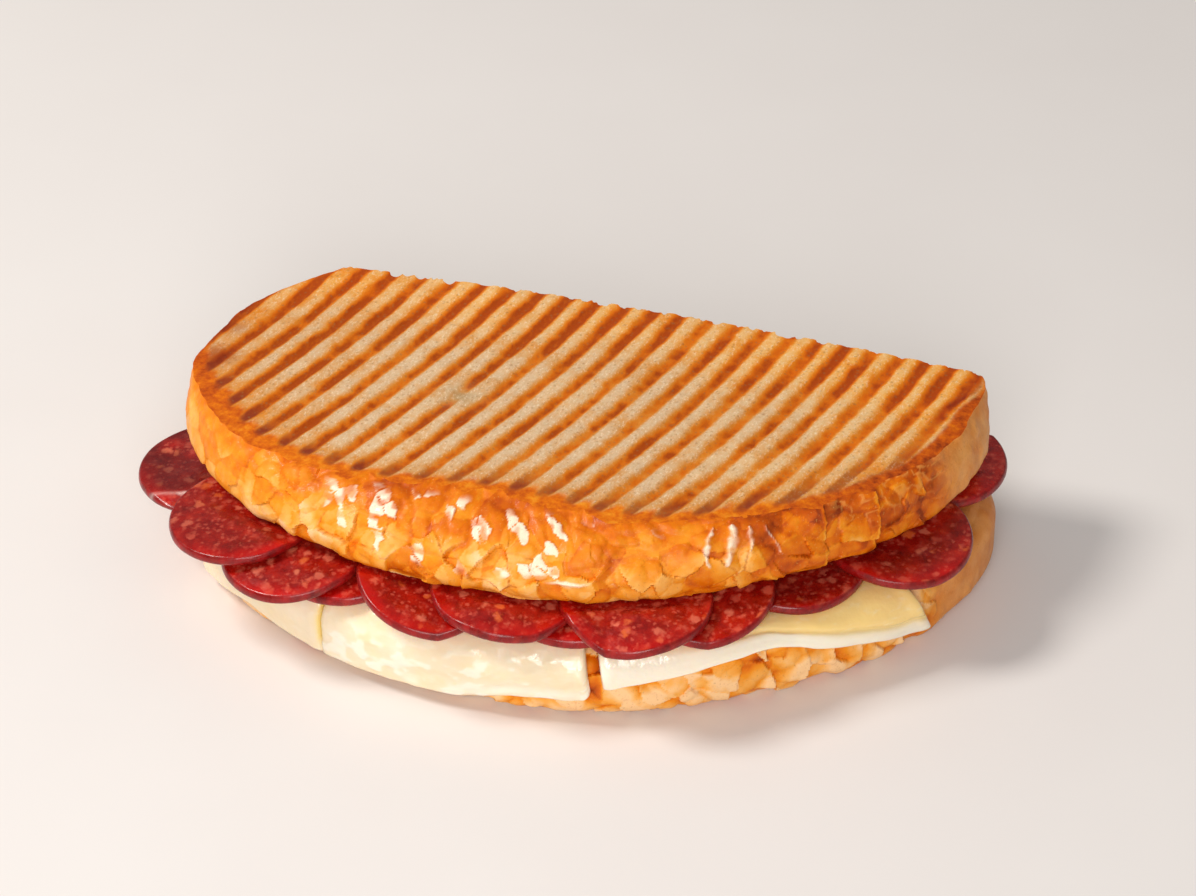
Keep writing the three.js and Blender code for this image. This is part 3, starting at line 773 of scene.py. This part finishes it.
def rim_drape(angle, drop, hem, out):
    """A place over the bottom slice's rim. The drop goes from 0 on the flat top to 1 at the hem."""
    shoulder, drop_height = BOTTOM["shoulder"], BOTTOM["shoulder_height"]
    bend_height = BOTTOM["top"] - drop_height
    bend_length = math.pi / 4 * (shoulder + drop_height)
    full = np.arccos(np.clip((hem - bend_height) / drop_height, 0, 1))
    length = bend_length * full / (math.pi / 2) + np.maximum(0, bend_height - hem)
    sweep = drop * length / bend_length * math.pi / 2
    bent = np.minimum(sweep, math.pi / 2)
    inset = shoulder * (1 - np.sin(bent)) - out * np.sin(bent)
    height = bend_height + (drop_height + out) * np.cos(bent) - np.maximum(0, drop * length - bend_length)
    under = np.clip((BOTTOM["edge_height"] - height) / BOTTOM["edge_height"], 0, 1)
    tuck = np.where(sweep > math.pi / 2, BOTTOM["edge"] * (1 - np.sqrt(1 - under * under)), 0)
    x, y = rim_point(BOTTOM["centre"], angle, inset + tuck)
    return x, y, height


def rounded(distance, radius):
    """From 0 at an edge to 1 at a radius from it, along a quarter circle."""
    return np.sqrt(1 - (1 - np.clip(distance / radius, 0, 1)) ** 2)


def hem_height(name, hem, across, s, width):
    """The height of a sheet's hem: its named heights with soft turns, and a little uneven."""
    steps = np.linspace(0, 1, len(hem))
    near = (-0.05, -0.02, 0, 0.02, 0.05)
    low = np.mean([np.interp(np.clip(across + d, 0, 1), steps, hem) for d in near], 0)
    low = low + 0.35 * noise(s, 0 * s, 7, 31, 2)
    if name == "cheese_middle":
        low = low + SHEET_CORNER * (1 - rounded((1 - across) * width, SHEET_CORNER))
    return low


def cheese_masks(name, across, hang, s, height, width, below, crease):
    """How far each place belongs to a sheet's seams and dents, its yellow part and its milky part, which on
    the middle sheet is painted highlight on the lumps and along the hem.
    """
    t = SHEET_LENGTH * hang
    closed = {"cheese_left": 1 - across, "cheese_middle": across, "cheese_right": 1}[name] * width
    seam = hump(closed, 0, 0.8) * smooth(0.15, 0.35, hang) * smooth(0.95, 0.7, hang)
    if name == "cheese_left":
        return {"seam": seam, "tint": 0, "milk_and_highlight": 0}
    if name == "cheese_middle":
        dent = hump(np.hypot(s - rim_length(250.2), height - 8.3), 0, 0.6)
        # white patches that follow the lumps, and a band along the hem: painted highlight
        cloud = noise(s, t * 1.4, 3.6, 33, 2) + 0.4 * noise(s, t, 10, 36)
        hem_highlight = hump(hang, 0.86, 0.1) * smooth(0.15, 0.4, across) * smooth(-0.5, 0.3, noise(s, t, 6, 37, 2))
        milk_and_highlight = np.maximum(smooth(0.15, 0.5, cloud) * smooth(0.25, 0.5, hang), 0.9 * hem_highlight)
        return {"seam": seam + dent, "tint": 0, "milk_and_highlight": milk_and_highlight}
    yellow = smooth(0.1, 0.65, across) * smooth(mix(0.4, 0.08, smooth(0.3, 0.6, across)), -0.1, below)
    return {"seam": seam + 0.5 * crease, "tint": yellow, "milk_and_highlight": 0.9 * smooth(0.0, 0.2, below)}


def cheese(name, span, flare, back, hem):
    """A sheet of cheese from the cut to its hem, with round soft edges and a melted surface."""
    width = rim_length(span[1]) - rim_length(span[0])
    count = int(int(width) * 2 / FINE)
    across = 0.5 - 0.5 * np.cos(np.linspace(0, math.pi, count))
    across = (0.25 * across + 0.75 * np.linspace(0, 1, count))[None]
    on_top = np.linspace(-1, 0, int(70 / FINE), endpoint=False)
    down = np.concatenate([on_top, np.sin(np.linspace(0, math.pi / 2, int(64 / FINE)))])[:, None]
    hang = np.maximum(down, 0)
    angle = mix(*span, across) + hang * mix(*flare, across)
    s, t = rim_length(angle), SHEET_LENGTH * hang
    low = hem_height(name, hem, across, s, width)

    # the edges are round, and the surface is lumpy, with a crease across the right sheet
    side = np.minimum(across, 1 - across) * width
    full = rounded(side, 1.3) * rounded((1 - hang) * SHEET_LENGTH, 1.4)
    thickness = mix(CHEESE_THICKNESS, HEM_THICKNESS, hang ** 3)
    lumps = 0.3 if name == "cheese_middle" else 0.08
    melt = 0.2 * noise(s, t, 9, 32, 2) + lumps * noise(s, t * 1.4, 3.6, 33, 2) * smooth(0.1, 0.5, hang)
    pool = 0.25 * smooth(0.72, 0.95, hang) + 0.25 * hump(side, 2.2, 1.6)
    below = hang - mix(0.30, 0.72, across ** 0.8) - 0.02 * noise(s, 0 * s, 6, 34)
    crease = hump(below, 0, 0.05) * smooth(0.25, 0.6, across) * (name == "cheese_right")
    outer = GAP + thickness / 2 + (thickness / 2 + (melt + pool - 0.35 - 0.8 * crease)) * full
    inner = GAP + thickness / 2 - thickness / 2 * full

    def surface(out):
        x, y, z = rim_drape(angle, hang, low, out)
        share = 1 + np.minimum(down, 0)
        return np.stack([mix(mix(*back, across), x, share), mix(CUT_Y + 3, y, share), z + 0 * share], -1)

    front, rear = surface(outer), surface(inner)
    piece = sheet_mesh(name.replace("cheese", "melt"), front, rear)
    masks = cheese_masks(name, across, hang, s, front[..., 2], width, below, crease)
    masks = {mask: values + 0 * full for mask, values in masks.items()}
    set_values(piece, masks, 0 * full[1:-1, 1:-1])
    wear(piece, "cheese")
    carve(piece, plain_knife(35, "cheese"))
    finish_piece(piece, name, 50)


# ---- sausage ----

# the height of all that lies in the toastie so far, for each millimetre of it
MAP_AXIS = np.arange(-120, 121.0)
map_x, map_y = np.meshgrid(MAP_AXIS, MAP_AXIS)
pile = np.zeros(map_x.shape)


def lay_cheese():
    """The pile starts as the bread and the cheese on it."""
    far = np.clip((CUT_Y - map_y) / 80, 0, 1)
    left = mix(CHEESE["cheese_left"]["back"][0], CHEESE_FRONT[0], far)
    right = mix(CHEESE["cheese_right"]["back"][1], CHEESE_FRONT[1], far)
    cover = np.where((map_x > left - 1) & (map_x < right + 1), GAP + CHEESE_THICKNESS, 0)
    reach = np.hypot(map_x - BOTTOM["centre"][0], map_y - BOTTOM["centre"][1])
    inset = reach / oval_share(BOTTOM["centre"], map_x, map_y) - reach
    out = np.clip((BOTTOM["shoulder"] - inset) / (BOTTOM["shoulder"] + cover), 0, 1)
    drop = BOTTOM["shoulder_height"]
    height = BOTTOM["top"] - drop + (drop + cover) * np.sqrt(1 - out * out)
    pile[:] = np.where(inset < -cover, 0, height)


def pressed_height(x, y):
    """How high the filling can reach under the upper slice, and outside it."""
    outside = np.maximum(0, oval_share(TOP["centre"], x, y) - 0.99)
    return underside(TOP, y) - GAP + 25 * outside


def behind_fold(number, x, y):
    """How far places of a slice lie behind its fold. A slice with no fold lies well behind one."""
    if number == FOLDED:
        return (y + 20) * 0.97 - (x + 95) * 0.24 + 0.3 * noise(x, y, 6, 120)
    return 9 + 0 * x


def sausage(number, place, shown):
    """A slice of sausage that lies on the pile, and adds itself to it. Those shown are finer."""
    cx, cy, droop = place
    soft = droop / BEND_RATE
    near = np.hypot(map_x - cx, map_y - cy) <= SAUSAGE_RADIUS + 0.5
    px, py, pz = map_x[near], map_y[near], pile[near]

    def resting(x, y):
        """The slice's underside: over each place of the pile it falls off to all sides."""
        height = np.zeros(x.shape)
        flat_x, flat_y, out = x.ravel(), y.ravel(), height.ravel()
        for i in range(0, len(flat_x), 2000):
            part = slice(i, i + 2000)
            far = np.hypot(flat_x[part, None] - px, flat_y[part, None] - py)
            out[part] = np.maximum(0, (pz - droop * (np.hypot(far, soft) - soft)).max(1))
        return out.reshape(x.shape)

    angle = np.radians(np.arange(0, 360, (2.5 if shown else 5) * FINE))[None]
    lip = np.linspace(-math.pi / 2, math.pi / 2, 13 if shown else 7)
    flat = np.linspace(0.04, 0.955, int((20 if shown else 9) / FINE))
    share = np.concatenate([flat, 0.96 + 0.04 * np.cos(lip), flat[::-1]])[:, None]
    level = np.concatenate([0 * flat - 1, np.sin(lip), 0 * flat + 1])[:, None]
    wobble = 1 - 0.018 * (0.5 + 0.5 * noise(np.degrees(angle) / 30, 0 * angle, 1, 100 + number, 2))
    radius = SAUSAGE_RADIUS * share * mix(1, wobble, share)
    x, y = cx + radius * np.cos(angle), cy + radius * np.sin(angle)

    floor = resting(x, y) + GAP
    ceiling = np.minimum(floor + SAUSAGE_THICKNESS, pressed_height(x, y))
    rough = 0.10 * noise(x, y, 3.0, 140 + number, 2) + 0.14 * noise(x, y, 9, 170 + number)
    relief = (np.minimum(rough, 0.1) - 0.25 * smooth(0.9, 0.5, share)) * smooth(1.0, 0.9, share)
    behind = behind_fold(number, x, y)
    z = (floor + ceiling) / 2 + level * (ceiling - floor) / 2
    z = z + np.maximum(level, 0) * (relief - 0.25 * np.clip(-behind, 0, 4))
    piece = ring_mesh(f"slice_{number:02d}", np.stack([x, y, z], -1),
                      (cx, cy, z[0].mean()), (cx, cy, z[-1].mean()))
    # brighter red towards the front edge of each slice: painted light
    glow = smooth(0.72, 0.96, share) * smooth(0.0, -0.8, np.sin(angle))
    glow = glow * (0.6 + 0.5 * noise(x, y, 6, 190 + number))
    cloud = smooth(-0.5, 0.3, noise(x, y, 9, 210 + number, 2) + 0.3)
    masks = {
        "rim": smooth(0.955, 0.985, share) + 0 * x,
        # darker slices; on the folded slice the dark behind the fold is painted shade, with a painted
        # highlight (glint) along the fold
        "deep": DEEP.get(number, 0.0) * cloud * smooth(0, 2, behind),
        "glint": hump(behind, 0, 0.5) * (0.25 + 0.75 * smooth(-95, -92, x)),
        "glow": np.clip(glow, 0, 1),
    }
    set_values(piece, masks, (0, 0))
    wear(piece, "sausage")
    if cy + SAUSAGE_RADIUS > CUT_Y:
        carve(piece, plain_knife(36, "sausage"))
    finish_piece(piece, f"sausage_{number:02d}", 60)
    pile[near] = np.minimum(resting(px, py) + GAP + SAUSAGE_THICKNESS, pressed_height(px, py))


# ---- materials ----

MATERIALS = {}


def wear(piece, name):
    piece.data.materials.clear()
    piece.data.materials.append(MATERIALS[name])


def rgb(red, green, blue):
    """A colour given as it looks on a screen, as the shaders want it."""
    def linear(value):
        value /= 255
        return value / 12.92 if value <= 0.04045 else ((value + 0.055) / 1.055) ** 2.4
    return (linear(red), linear(green), linear(blue), 1.0)


class Looks:
    """A node material under construction."""

    def __init__(self, name, roughness):
        self.material = bpy.data.materials.new(name)
        self.material.use_nodes = True
        self.tree = self.material.node_tree
        self.shader = self.tree.nodes["Principled BSDF"]
        self.shader.inputs["Roughness"].default_value = roughness
        self.place = self.node("ShaderNodeTexCoord", {}).outputs["Object"]
        MATERIALS[name] = self.material

    def fill(self, made, inputs):
        """Each input gets a number, a tuple or what another node puts out. None leaves it alone."""
        for key, source in inputs.items():
            if isinstance(source, (int, float, tuple)):
                made.inputs[key].default_value = source
            elif source is not None:
                self.tree.links.new(source, made.inputs[key])

    def node(self, kind, inputs, **settings):
        made = self.tree.nodes.new(kind)
        for key, value in settings.items():
            setattr(made, key, value)
        self.fill(made, inputs)
        return made

    def mask(self, name):
        return self.node("ShaderNodeAttribute", {}, attribute_name=name).outputs["Fac"]

    def maths(self, operation, *values):
        return self.node("ShaderNodeMath", dict(enumerate(values)), operation=operation).outputs[0]

    def noise(self, size, detail=3.0, rough=0.55, stretch=None, turn=0.0):
        """Noise from 0 to 1 with features of a size in millimetres."""
        place = self.place
        if stretch:
            inputs = {"Vector": place, "Scale": stretch, "Rotation": (0, 0, turn)}
            place = self.node("ShaderNodeMapping", inputs).outputs[0]
        inputs = {"Vector": place, "Scale": 1 / (size * MM), "Detail": detail, "Roughness": rough}
        return self.node("ShaderNodeTexNoise", inputs).outputs["Fac"]

    def dots(self, size, wander, wander_size):
        """Uneven cells of a size in millimetres: the distance to the nearest point, and two
        random numbers of its own."""
        drift = self.node("ShaderNodeTexNoise", {"Vector": self.place, "Scale": 1 / (wander_size * MM)})
        inputs = {0: drift.outputs["Color"], 1: (wander * MM,) * 3, 2: self.place}
        moved = self.node("ShaderNodeVectorMath", inputs, operation="MULTIPLY_ADD").outputs[0]
        made = self.node("ShaderNodeTexVoronoi", {"Vector": moved, "Scale": 1 / (size * MM)})
        own = self.node("ShaderNodeSeparateColor", {0: made.outputs["Color"]})
        return made.outputs["Distance"], own.outputs[0], own.outputs[1]

    def step(self, value, low, high, start=0.0, end=1.0):
        """From start to end as a value goes from low to high."""
        inputs = {"Value": value, "From Min": low, "From Max": high, "To Min": start, "To Max": end}
        return self.node("ShaderNodeMapRange", inputs, interpolation_type="SMOOTHSTEP").outputs[0]

    def ramp(self, value, *stops):
        made = self.node("ShaderNodeValToRGB", {"Fac": value})
        points = made.color_ramp.elements
        while len(points) < len(stops):
            points.new(0.5)
        for point, (position, colour) in zip(points, stops):
            point.position, point.color = position, colour
        return made.outputs["Color"]

    def blend(self, share, a, b, kind="MIX"):
        inputs = {"Factor": share, "A": a, "B": b}
        return self.node("ShaderNodeMix", inputs, data_type="RGBA", blend_type=kind).outputs["Result"]

    def paint(self, colour, mask, share, tone):
        """The colour, with a tone laid over it where a mask says so, up to a share."""
        return self.blend(self.maths("MULTIPLY", self.mask(mask), share), colour, tone)

    def dapple(self, colour, value, low, high, share, tone):
        """The colour, with a tone laid over it as a value goes from low to high, up to a share."""
        return self.blend(self.step(value, low, high, 0, share), colour, tone)

    def bump(self, height, strength, distance, below=None):
        inputs = {"Height": height, "Strength": strength, "Distance": distance * MM, "Normal": below}
        return self.node("ShaderNodeBump", inputs).outputs["Normal"]

    def finish(self, colour, roughness, normal=None, glow=(None, None), **settings):
        """The shader's inputs, with the weight and depth in metres of the light that goes in."""
        self.fill(self.shader, {"Base Color": colour, "Roughness": roughness, "Normal": normal})
        self.fill(self.shader, dict(zip(("Subsurface Weight", "Subsurface Scale"), glow)))
        self.fill(self.shader, {key.replace("_", " "): value for key, value in settings.items()})


def crust_colour(look, bake):
    """From pale cream through gold to dark brown, as the crust bakes."""
    return look.ramp(
        bake,
        (0.0, rgb(250, 202, 146)),
        (0.2, rgb(246, 176, 86)),
        (0.4, rgb(238, 146, 28)),
        (0.6, rgb(222, 112, 0)),
        (0.8, rgb(192, 80, 0)),
        (1.0, rgb(138, 48, 0)),
    )


def make_crust():
    look = Looks("crust", 0.4)
    mottle = look.noise(2.4, 4, 0.65)
    fine = look.noise(0.6, 3, 0.6)
    bake = look.maths("ADD", look.mask("bake"), look.maths("MULTIPLY_ADD", mottle, 0.34, -0.17))
    tan = look.ramp(look.noise(6, 4), (0.3, rgb(208, 126, 56)), (0.7, rgb(232, 166, 98)))
    colour = look.paint(crust_colour(look, bake), "tan", 0.75, tan)
    colour = look.paint(colour, "veins", 0.4, rgb(244, 168, 82))
    colour = look.paint(colour, "crack", 0.5, rgb(180, 80, 6))
    # near-white painted highlight on the crust's chips, ridges and hem line
    colour = look.dapple(colour, look.mask("flake_highlight"), 0.05, 0.8, 0.92, rgb(255, 232, 204))
    colour = look.dapple(colour, fine, 0.58, 0.76, 0.35, rgb(255, 196, 104))
    colour = look.dapple(colour, fine, 0.44, 0.26, 0.35, rgb(160, 76, 0))
    roughness = look.maths("MULTIPLY_ADD", look.mask("flake_highlight"), -0.25, look.step(mottle, 0.3, 0.7, 0.4, 0.55))
    normal = look.bump(look.noise(0.25, 2), 0.25, 0.05, look.bump(fine, 0.45, 0.12))
    look.finish(colour, roughness, normal, (0.04, 0.002),
                Specular_IOR_Level=0.18, Coat_Weight=0.05, Coat_Roughness=0.12)


def make_pressed():
    look = Looks("pressed", 0.6)
    groove_turn = math.atan(GROOVE["slope"])
    mottle = look.noise(1.5, 4, 0.7)
    along = look.noise(0.9, 3, 0.6, (1, 0.4, 1), groove_turn)
    fine = look.noise(0.6, 3, 0.7, (1, 0.55, 1), groove_turn)
    brown = look.maths("ADD", look.mask("brown"), look.maths("MULTIPLY_ADD", mottle, 0.24, -0.12))
    brown = look.maths("ADD", brown, look.maths("MULTIPLY_ADD", along, 0.24, -0.12))
    tones = (
        (0.0, rgb(214, 180, 140), rgb(236, 190, 124)),
        (0.26, rgb(210, 156, 98), rgb(234, 162, 72)),
        (0.52, rgb(214, 132, 40), rgb(226, 128, 16)),
        (0.78, rgb(208, 104, 4), rgb(216, 102, 0)),
        (1.0, rgb(164, 66, 0), rgb(172, 66, 0)),
    )
    plain = look.ramp(brown, *((place, tone) for place, tone, _ in tones))
    warm = look.ramp(brown, *((place, tone) for place, _, tone in tones))
    colour = look.blend(look.mask("warm"), plain, warm)
    colour = look.paint(colour, "grey", 0.6, rgb(160, 136, 96))
    colour = look.paint(colour, "ends", 0.85, rgb(126, 46, 30))
    colour = look.dapple(colour, look.dots(1.5, 1.2, 1.5)[0], 0.34, 0.10, 0.4, rgb(150, 104, 60))
    light = look.maths("MULTIPLY", look.step(fine, 0.50, 0.72, 0, 0.5), look.step(brown, 0.7, 0.2))
    colour = look.blend(light, colour, rgb(250, 226, 192))
    colour = look.dapple(colour, fine, 0.44, 0.22, 0.4, rgb(150, 84, 26))
    colour = look.blend(look.mask("burn"), colour, rgb(184, 104, 58), "MULTIPLY")
    bake = look.maths("MULTIPLY_ADD", look.noise(3.2, 5, 0.65), 1.1, look.mask("lap_bake"))
    colour = look.blend(look.mask("lap"), colour, crust_colour(look, bake))
    roughness = look.step(brown, 0.2, 0.9, 0.75, 0.5)
    normal = look.bump(fine, 0.4, 0.12, look.bump(mottle, 0.5, 0.25))
    look.finish(colour, roughness, normal, (0.04, 0.002), Specular_IOR_Level=0.2)


def make_crumb():
    look = Looks("crumb", 0.85)
    colour = look.ramp(look.noise(4, 4, 0.6), (0.25, rgb(248, 222, 180)), (0.75, rgb(255, 238, 208)))
    # darker in the crumb's holes: painted shade
    colour = look.paint(colour, "hole_shade", 0.7, rgb(224, 184, 128))
    colour = look.blend(look.mask("rind"), colour, rgb(196, 120, 48))
    normal = look.bump(look.noise(0.6, 4, 0.7), 0.6, 0.25)
    look.finish(colour, 0.85, normal, (0.15, 0.003))


def make_cheese():
    look = Looks("cheese", 0.3)
    cream = rgb(255, 244, 224)
    colour = look.ramp(look.noise(11, 3), (0.3, rgb(248, 222, 180)), (0.7, rgb(250, 228, 198)))
    colour = look.paint(colour, "tint", 0.95, rgb(255, 212, 132))
    colour = look.paint(colour, "seam", 0.8, rgb(240, 200, 70))
    colour = look.dapple(colour, look.noise(4, 3, 0.5, (1, 1, 2.5)), 0.50, 0.80, 0.25, cream)
    # milky white, painted highlight on the middle sheet's lumps and hem
    colour = look.paint(colour, "milk_and_highlight", 0.8, cream)
    roughness = look.step(look.noise(3, 3), 0.3, 0.7, 0.08, 0.24)
    normal = look.bump(look.noise(2.2, 2), 0.4, 0.3)
    look.finish(colour, roughness, normal, (0.3, 0.004), Subsurface_Radius=(1.0, 0.7, 0.4))


def make_sausage():
    look = Looks("sausage", 0.3)
    colour = look.ramp(
        look.noise(4, 5, 0.65),
        (0.2, rgb(92, 4, 2)),
        (0.45, rgb(144, 12, 6)),
        (0.62, rgb(172, 28, 14)),
        (0.82, rgb(204, 66, 42)),
    )
    distance, chosen, tone = look.dots(3.6, 3.4, 2.4)
    fleck = look.maths("MULTIPLY", look.step(distance, 0.48, 0.2), look.step(chosen, 0.36, 0.52))
    fat = look.ramp(tone, (0.0, rgb(206, 80, 58)), (0.7, rgb(230, 124, 96)), (0.97, rgb(230, 106, 46)))
    colour = look.blend(look.maths("MULTIPLY", fleck, 0.7), colour, fat)
    distance, chosen, _ = look.dots(1.5, 1.4, 1.2)
    grain = look.maths("MULTIPLY", look.step(distance, 0.45, 0.2), look.step(chosen, 0.5, 0.6))
    colour = look.blend(look.maths("MULTIPLY", grain, 0.42), colour, rgb(222, 104, 82))
    colour = look.dapple(colour, look.noise(2.6, 3, 0.6), 0.52, 0.72, 0.5, rgb(206, 84, 66))
    # darker slices; on the folded slice the dark behind the fold is painted shade
    colour = look.paint(colour, "deep", 0.7, rgb(70, 6, 6))
    # bright red towards the front edges: painted light
    colour = look.paint(colour, "glow", 0.6, rgb(210, 4, 2))
    edge = look.ramp(look.noise(3, 3), (0.35, rgb(98, 2, 4)), (0.65, rgb(154, 18, 18)))
    colour = look.paint(colour, "rim", 0.85, edge)
    colour = look.blend(look.mask("glint"), colour, rgb(255, 236, 226))
    roughness = look.step(look.noise(2.5, 3), 0.3, 0.7, 0.2, 0.42)
    normal = look.bump(look.maths("ADD", look.noise(0.9, 3), look.maths("MULTIPLY", fleck, 0.4)), 0.4, 0.25)
    look.finish(colour, roughness, normal, (0.08, 0.0015), Subsurface_Radius=(1.0, 0.2, 0.12),
                Specular_IOR_Level=0.3, Coat_Weight=0.16, Coat_Roughness=0.1)


def make_floor():
    look = Looks("floor", 0.55)
    look.finish(look.ramp(look.noise(60, 2), (0.0, rgb(232, 226, 222)), (1.0, rgb(236, 231, 227))), 0.55)


# ---- stage ----

VIEW_TARGET = Vector((0.0043, 0.02825, 0.025))
FLOOR_REACH = 1800


def look_from(name, data, azimuth, elevation, distance, target=Vector((0, 0, 0))):
    """A camera or a lamp that looks at a target from a distance, with its angles in degrees."""
    turn, rise = math.radians(azimuth), math.radians(elevation)
    back = Vector((math.sin(turn) * math.cos(rise), -math.cos(turn) * math.cos(rise), math.sin(rise)))
    holder = bpy.data.objects.new(name, data)
    holder.location = target + back * distance
    holder.rotation_mode = "QUATERNION"
    holder.rotation_quaternion = (-back).to_track_quat("-Z", "Y")
    bpy.context.collection.objects.link(holder)
    return holder


def make_camera():
    lens = bpy.data.cameras.new("camera")
    lens.sensor_width = 36
    lens.lens = 130
    bpy.context.scene.camera = look_from("camera", lens, 15.8, 37, 1.123, VIEW_TARGET)


def lamp(name, azimuth, elevation, distance, size, power, colour=(1, 1, 1)):
    light = bpy.data.lights.new(name, "AREA")
    light.shape = "DISK"
    light.size = size
    light.energy = power
    light.color = colour
    look_from(name, light, azimuth, elevation, distance)


def make_stage():
    corners = np.array([(-1, -1, 0), (1, -1, 0), (1, 1, 0), (-1, 1, 0)], dtype=float) * FLOOR_REACH
    floor = make_mesh("floor", corners, [(0, 1, 2, 3)])
    wear(floor, "floor")
    world = bpy.data.worlds.new("world")
    world.use_nodes = True
    sky = world.node_tree.nodes["Background"]
    sky.inputs["Color"].default_value = (1, 0.97, 0.95, 1)
    sky.inputs["Strength"].default_value = 0.3
    bpy.context.scene.world = world
    lamp("key", -75, 52, 1.3, 0.4, 11, (1, 0.97, 0.93))
    lamp("fill", 12, 30, 1.5, 0.8, 12.5)
    bpy.context.scene.view_settings.view_transform = "Standard"


# ---- the whole ----

for make in (make_crust, make_pressed, make_crumb, make_cheese, make_sausage, make_floor):
    make()
make_camera()
make_stage()

bread_bottom()
bread_top()
for name, sheet in CHEESE.items():
    cheese(name, **sheet)
lay_cheese()
for number, place in enumerate(HIDDEN_SLICES + RIM_SLICES, start=1):
    sausage(number, place, number > len(HIDDEN_SLICES))
